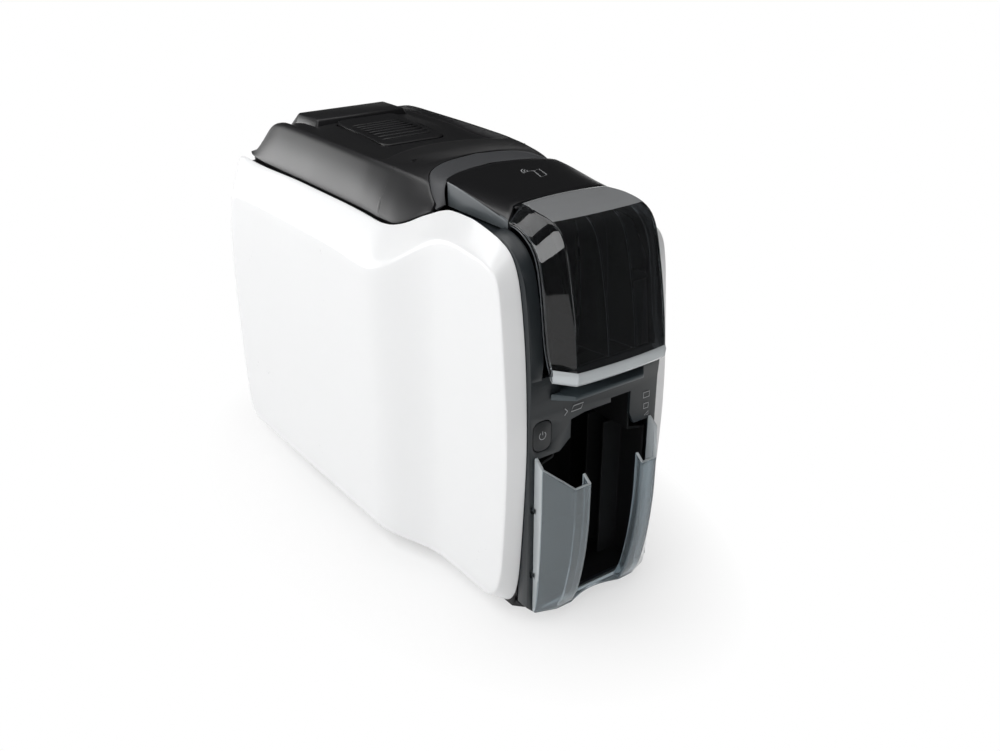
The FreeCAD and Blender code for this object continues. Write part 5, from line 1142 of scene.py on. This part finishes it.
def buildShoulders():
    size = bezelShoulder
    low, high = [evenRun(smoothRun(size[line], 6), size["rows"]) for line in ("low", "high")]
    rows = []
    for (ly, lz), (hy, hz) in zip(low, high):
        row = []
        for share in size["shares"]:
            rise = size["lift"] * math.sin(math.pi / 2 * share)
            x = between(size["outer"], size["inner"], share)
            row.append((x, between(ly, hy, rise), between(lz, hz, rise)))
        rows.append(row + [(size["inner"], ly + size["fold"], lz - size["fold"])])
    band = shellPiece("rightShoulder", rows, (0, -1, 1), size)
    other = mirroredObject(band, "leftShoulder")
    for each in (band, other):
        register(each, "chassis", "bezel_dark")


buildShoulders()
print("shoulders built")


# Output guard: two clear wings on a floor lip

outputGuard = {
    "wall": 2.0, "edge": 0.45, "outerX": 46.0, "cornerX": 32.0, "innerX": 20.0, "turnBack": 6.0,
    "rear": -165.4, "knee": 0.3, "corner": 1.0, "highlightTilt": 0.9, "topRear": 118.0, "topFront": 102.0,
    "floor": 8.6, "floorEdge": 0.5, "floorInset": (0.4, 0.2), "floorRun": (1.1, 0.9), "dip": 4.4,
    "tabHeights": (36.0, 82.4), "tabWall": 1.4, "tabRun": (-2.2, 6.8), "tabEdge": 0.3, "tabHalf": 2,
    # height and depth of the front wall
    "front": [(8.6, -172.4), (14, -175.4), (20, -178), (32, -181), (45, -183.4), (62, -185.4),
              (80, -186.5), (100, -186.6), (120, -186.4)],
}


def wingPlan(frontY):
    size = outputGuard
    knee = between(size["rear"], frontY, size["knee"])
    corners = [(size["outerX"], size["rear"], 0), (size["outerX"], knee, 0), (size["cornerX"], frontY, 0),
               (size["innerX"], frontY, 0), (size["innerX"], frontY + size["turnBack"], 0)]
    return roundedRun(corners, size["corner"], 3)


def buildGuard():
    size = outputGuard
    frontAt = smoothTable(size["front"])
    low, top = size["floor"], size["topFront"]
    depth = frontAt(top) - size["rear"]
    rows = []
    for share in [index / 30 for index in range(31)]:
        row = []
        for p in wingPlan(frontAt(between(low, top, share))):
            reach = min(max((p.y - size["rear"]) / depth, 0.0), 1.0)
            row.append((p.x, p.y, between(low, between(size["topRear"], top, reach), share)))
        rows.append(row)
    # rim and rounded edges take the pale edge finish, a painted highlight
    wing = shellPiece("wing", rows, (1, 0, 0), size, angle=30, rimFinish=1,
                      looks=(finishes["smoky_clear"], clearEdgePaintedHighlight))
    # the outer side walls also take the pale finish, a painted highlight
    repaint(wing, 1, lambda face: abs(face.normal.x) > size["highlightTilt"]
            and abs(face.center.x) > size["cornerX"] * mm)
    other = mirroredObject(wing, "otherWing")
    inset, front = size["floorInset"], frontAt(low)
    plan = [(p.x - inset[0], p.y + inset[1]) for p in wingPlan(front)[:-6]]
    dip = [(size["innerX"] * (1 - 2 * step / 12), front + size["dip"] * math.sin(math.pi * step / 12))
           for step in range(0, 13)]
    under, over = size["floorRun"]
    outline = plan + dip + [(-x, y) for x, y in plan[::-1]]
    floor = solidPiece("floor", upright(outline, low - under, low + over), size["floorEdge"])
    tabs = [guardTab(sign, z) for sign in (-1, 1) for z in size["tabHeights"]]
    joinObjects(wing, [other, floor] + tabs)
    wing.name = "guardShell"
    register(wing, "chassis", "smoky_clear", ["output_guard"])


def guardTab(sign, z):
    size = outputGuard
    low, high = size["outerX"] - size["tabWall"], size["outerX"]
    front, rear = (size["rear"] + reach for reach in size["tabRun"])
    outline = [(low, front), (high, front), (high, rear), (low, rear)]
    ends = upright([(x * sign, y) for x, y in outline][::sign], z - size["tabHalf"], z + size["tabHalf"])
    return solidPiece("tab", ends, size["tabEdge"])


buildGuard()
print("guard built")


# Nodes whose form is kept, with rounded edges from a merged copy

softTools = {"merge": 0.005, "flat": 1.0, "bevelAngle": 30, "sharp": 40, "trayGap": 1.0}


def softCopy(nodeName, body, slotName, width):
    copy = bpy.data.objects.new(nodeName + ".soft", frame["nodes"][nodeName].data.copy())
    scene.collection.objects.link(copy)
    copy.data.materials.clear()
    work = bmesh.new()
    work.from_mesh(copy.data)
    bmesh.ops.remove_doubles(work, verts=work.verts, dist=softTools["merge"] * mm)
    flat = math.radians(softTools["flat"])
    bmesh.ops.dissolve_limit(work, angle_limit=flat, verts=work.verts, edges=work.edges)
    work.to_mesh(copy.data)
    work.free()
    addBevel(copy, width, 2, softTools["bevelAngle"])
    settle(copy, softTools["sharp"])
    return register(copy, body, slotName, [nodeName], softTools["sharp"])


softNodes = (
    ("front_bezel", "chassis", "bezel_dark", 0.5), ("manual_feed_lip", "chassis", "button_grey", 0.8),
    ("power_button", "button", "button_grey", 0.5), ("output_bin", "chassis", "bin_dark", 0.4),
    ("base_tray", "chassis", "tray_dark", 0.6), ("rear_panel", "chassis", "bezel_dark", 0.5),
    ("input_hopper", "chassis", "bin_dark", 0.4), ("rubber_feet", "chassis", "foot_rubber", 0.5))
for nodeName, body, slotName, width in softNodes:
    copy = softCopy(nodeName, body, slotName, width)
    if nodeName == "base_tray":
        for vertex in copy.data.vertices:
            limit = (outerHalf(vertex.co.y / mm) - sidePanel["inset"] - softTools["trayGap"]) * mm
            vertex.co.x = min(max(vertex.co.x, -limit), limit)
    if nodeName == "manual_feed_lip":
        # its own blue-grey, lightened as a painted highlight
        dress(copy, feedLipBluePaintedSheen)
print("kept nodes rounded")


# Floor, light and camera

stageSizes = {
    "floorHalf": 9.0, "floorFront": -0.43, "fadeStart": 0.14, "fadeEnd": 0.27, "glow": 0.50,
    "stretch": (1.7, 1, 1), "whiteRise": 0.10, "ambient": 0.13, "below": 0.85,
    "belowRise": -20, "dim": 0.025, "rearRun": 0.5, "floorWhite": (0.93, 0.93, 0.93, 1),
}


def rayKinds(made):
    # 1 or 0 for camera, mirror and see-through rays
    return [made.node("ShaderNodeLightPath", output=kind) for kind in (0, 3, 6)]


def buildFloor():
    size = stageSizes
    half, front = size["floorHalf"] / mm, size["floorFront"] / mm
    corners = [(-half, front, 0), (half, front, 0), (half, half, 0), (-half, half, 0)]
    floor = makeObject("studioFloor", corners, [(0, 1, 2, 3)])
    made = Finish("floorWhite")
    stretched = made.node("ShaderNodeVectorMath", {"operation": "MULTIPLY"},
                          {0: made.place(), 1: size["stretch"]})
    reach = made.node("ShaderNodeVectorMath", {"operation": "LENGTH"}, {0: stretched}, output=1)
    span, glow = size["fadeEnd"] - size["fadeStart"], size["glow"]
    fade = made.clipped((reach - size["fadeStart"]) / span)
    matt = made.node("ShaderNodeBsdfDiffuse", None, {"Color": size["floorWhite"]})
    light = made.node("ShaderNodeEmission", None, {"Color": (1, 1, 1, 1), "Strength": 1.0})
    camera, glossy, clear = rayKinds(made)
    share = (fade * (1 - glow) + glow) * (camera + glossy + clear).atMost(1.0)
    blend = made.node("ShaderNodeMixShader", None, {0: share, 1: matt, 2: light})
    made.node("ShaderNodeOutputMaterial", None, {"Surface": blend})
    floor.data.materials.append(made.material)


def buildWorld():
    # a pale backdrop low down, a dim studio above it and an even ambient light
    world = bpy.data.worlds.new("studio")
    scene.world = world
    world.use_nodes = True
    made = Finish("studio", world.node_tree)
    size = stageSizes
    outward = made.node("ShaderNodeTexCoord")
    rearward, height = [made.node("ShaderNodeSeparateXYZ", None, {0: outward}, output=axis)
                        for axis in (1, 2)]
    low = made.clipped(1 - height / size["whiteRise"])
    rear = made.clipped(rearward / size["rearRun"])
    under = made.clipped(height * size["belowRise"])
    camera, glossy, clear = rayKinds(made)
    mirrored = low * rear * (1 - size["dim"]) + size["dim"]
    even = under * (size["below"] - size["ambient"]) + size["ambient"]
    direct = (camera + clear).atMost(1.0)
    level = direct + (1 - direct) * (glossy * mirrored + (1 - glossy) * even)
    back = made.node("ShaderNodeBackground", None, {0: (1, 1, 1, 1), 1: level})
    made.node("ShaderNodeOutputWorld", None, {"Surface": back})


def softLight(name, place, aim, along, width, height, radiance):
    # a soft box of even radiance, unseen by the camera itself
    lamp = bpy.data.lights.new(name, "AREA")
    lamp.shape = "RECTANGLE"
    lamp.size, lamp.size_y = width, height
    lamp.energy = radiance * math.pi * width * height
    holder = bpy.data.objects.new(name, lamp)
    scene.collection.objects.link(holder)
    holder.location = place
    back = (Vector(place) - Vector(aim)).normalized()
    side = (Vector(along) - back * back.dot(Vector(along))).normalized()
    turn = Matrix((side, back.cross(side), back)).transposed()
    holder.rotation_euler = turn.to_euler()
    holder.visible_camera = False


# place, aim, the direction that the width runs along, width, height and radiance
softLights = {
    "overhead": ((-0.10, -0.10, 1.6), (-0.05, 0, 0), (1, 0, 0), 1.7, 1.7, 1.25),
    "leftRear": ((-0.80, 1.10, 0.20), (0, 0, 0.2), (0.81, 0.59, 0), 0.9, 0.42, 4.4),
    "leftHigh": ((-0.60, 0.38, 1.11), (-0.037, -0.16, 0.25), (-0.44, -0.32, -0.12), 0.74, 0.52, 3.0),
    "leftLow": ((-1.153, -0.256, 0.634), (-0.037, -0.16, 0.25), (-0.11, -0.43, -0.40), 0.62, 0.42, 5.4),
    "frontLeft": ((-0.75, -1.0, 0.25), (-0.06, -0.16, 0.13), (0.8, -0.6, 0), 0.5, 0.5, 2.4),
}

photoView = {
    "lens": 38.05, "sensor": 36.0, "near": 0.01, "far": 50, "place": (-0.37675, -0.58111, 0.42755),
    "direction": (0.5337, 0.7257, -0.4343),
}


def buildCamera():
    camera = bpy.data.cameras.new("photoCamera")
    camera.sensor_fit = "HORIZONTAL"
    camera.sensor_width = photoView["sensor"]
    camera.lens = photoView["lens"]
    camera.clip_start, camera.clip_end = photoView["near"], photoView["far"]
    holder = bpy.data.objects.new("photoCamera", camera)
    scene.collection.objects.link(holder)
    holder.location = photoView["place"]
    holder.rotation_euler = Vector(photoView["direction"]).to_track_quat("-Z", "Y").to_euler()
    scene.camera = holder


buildFloor()
buildWorld()
for lightName, settings in softLights.items():
    softLight(lightName, *settings)
buildCamera()
scene.view_settings.view_transform = "Standard"
print("stage ready")
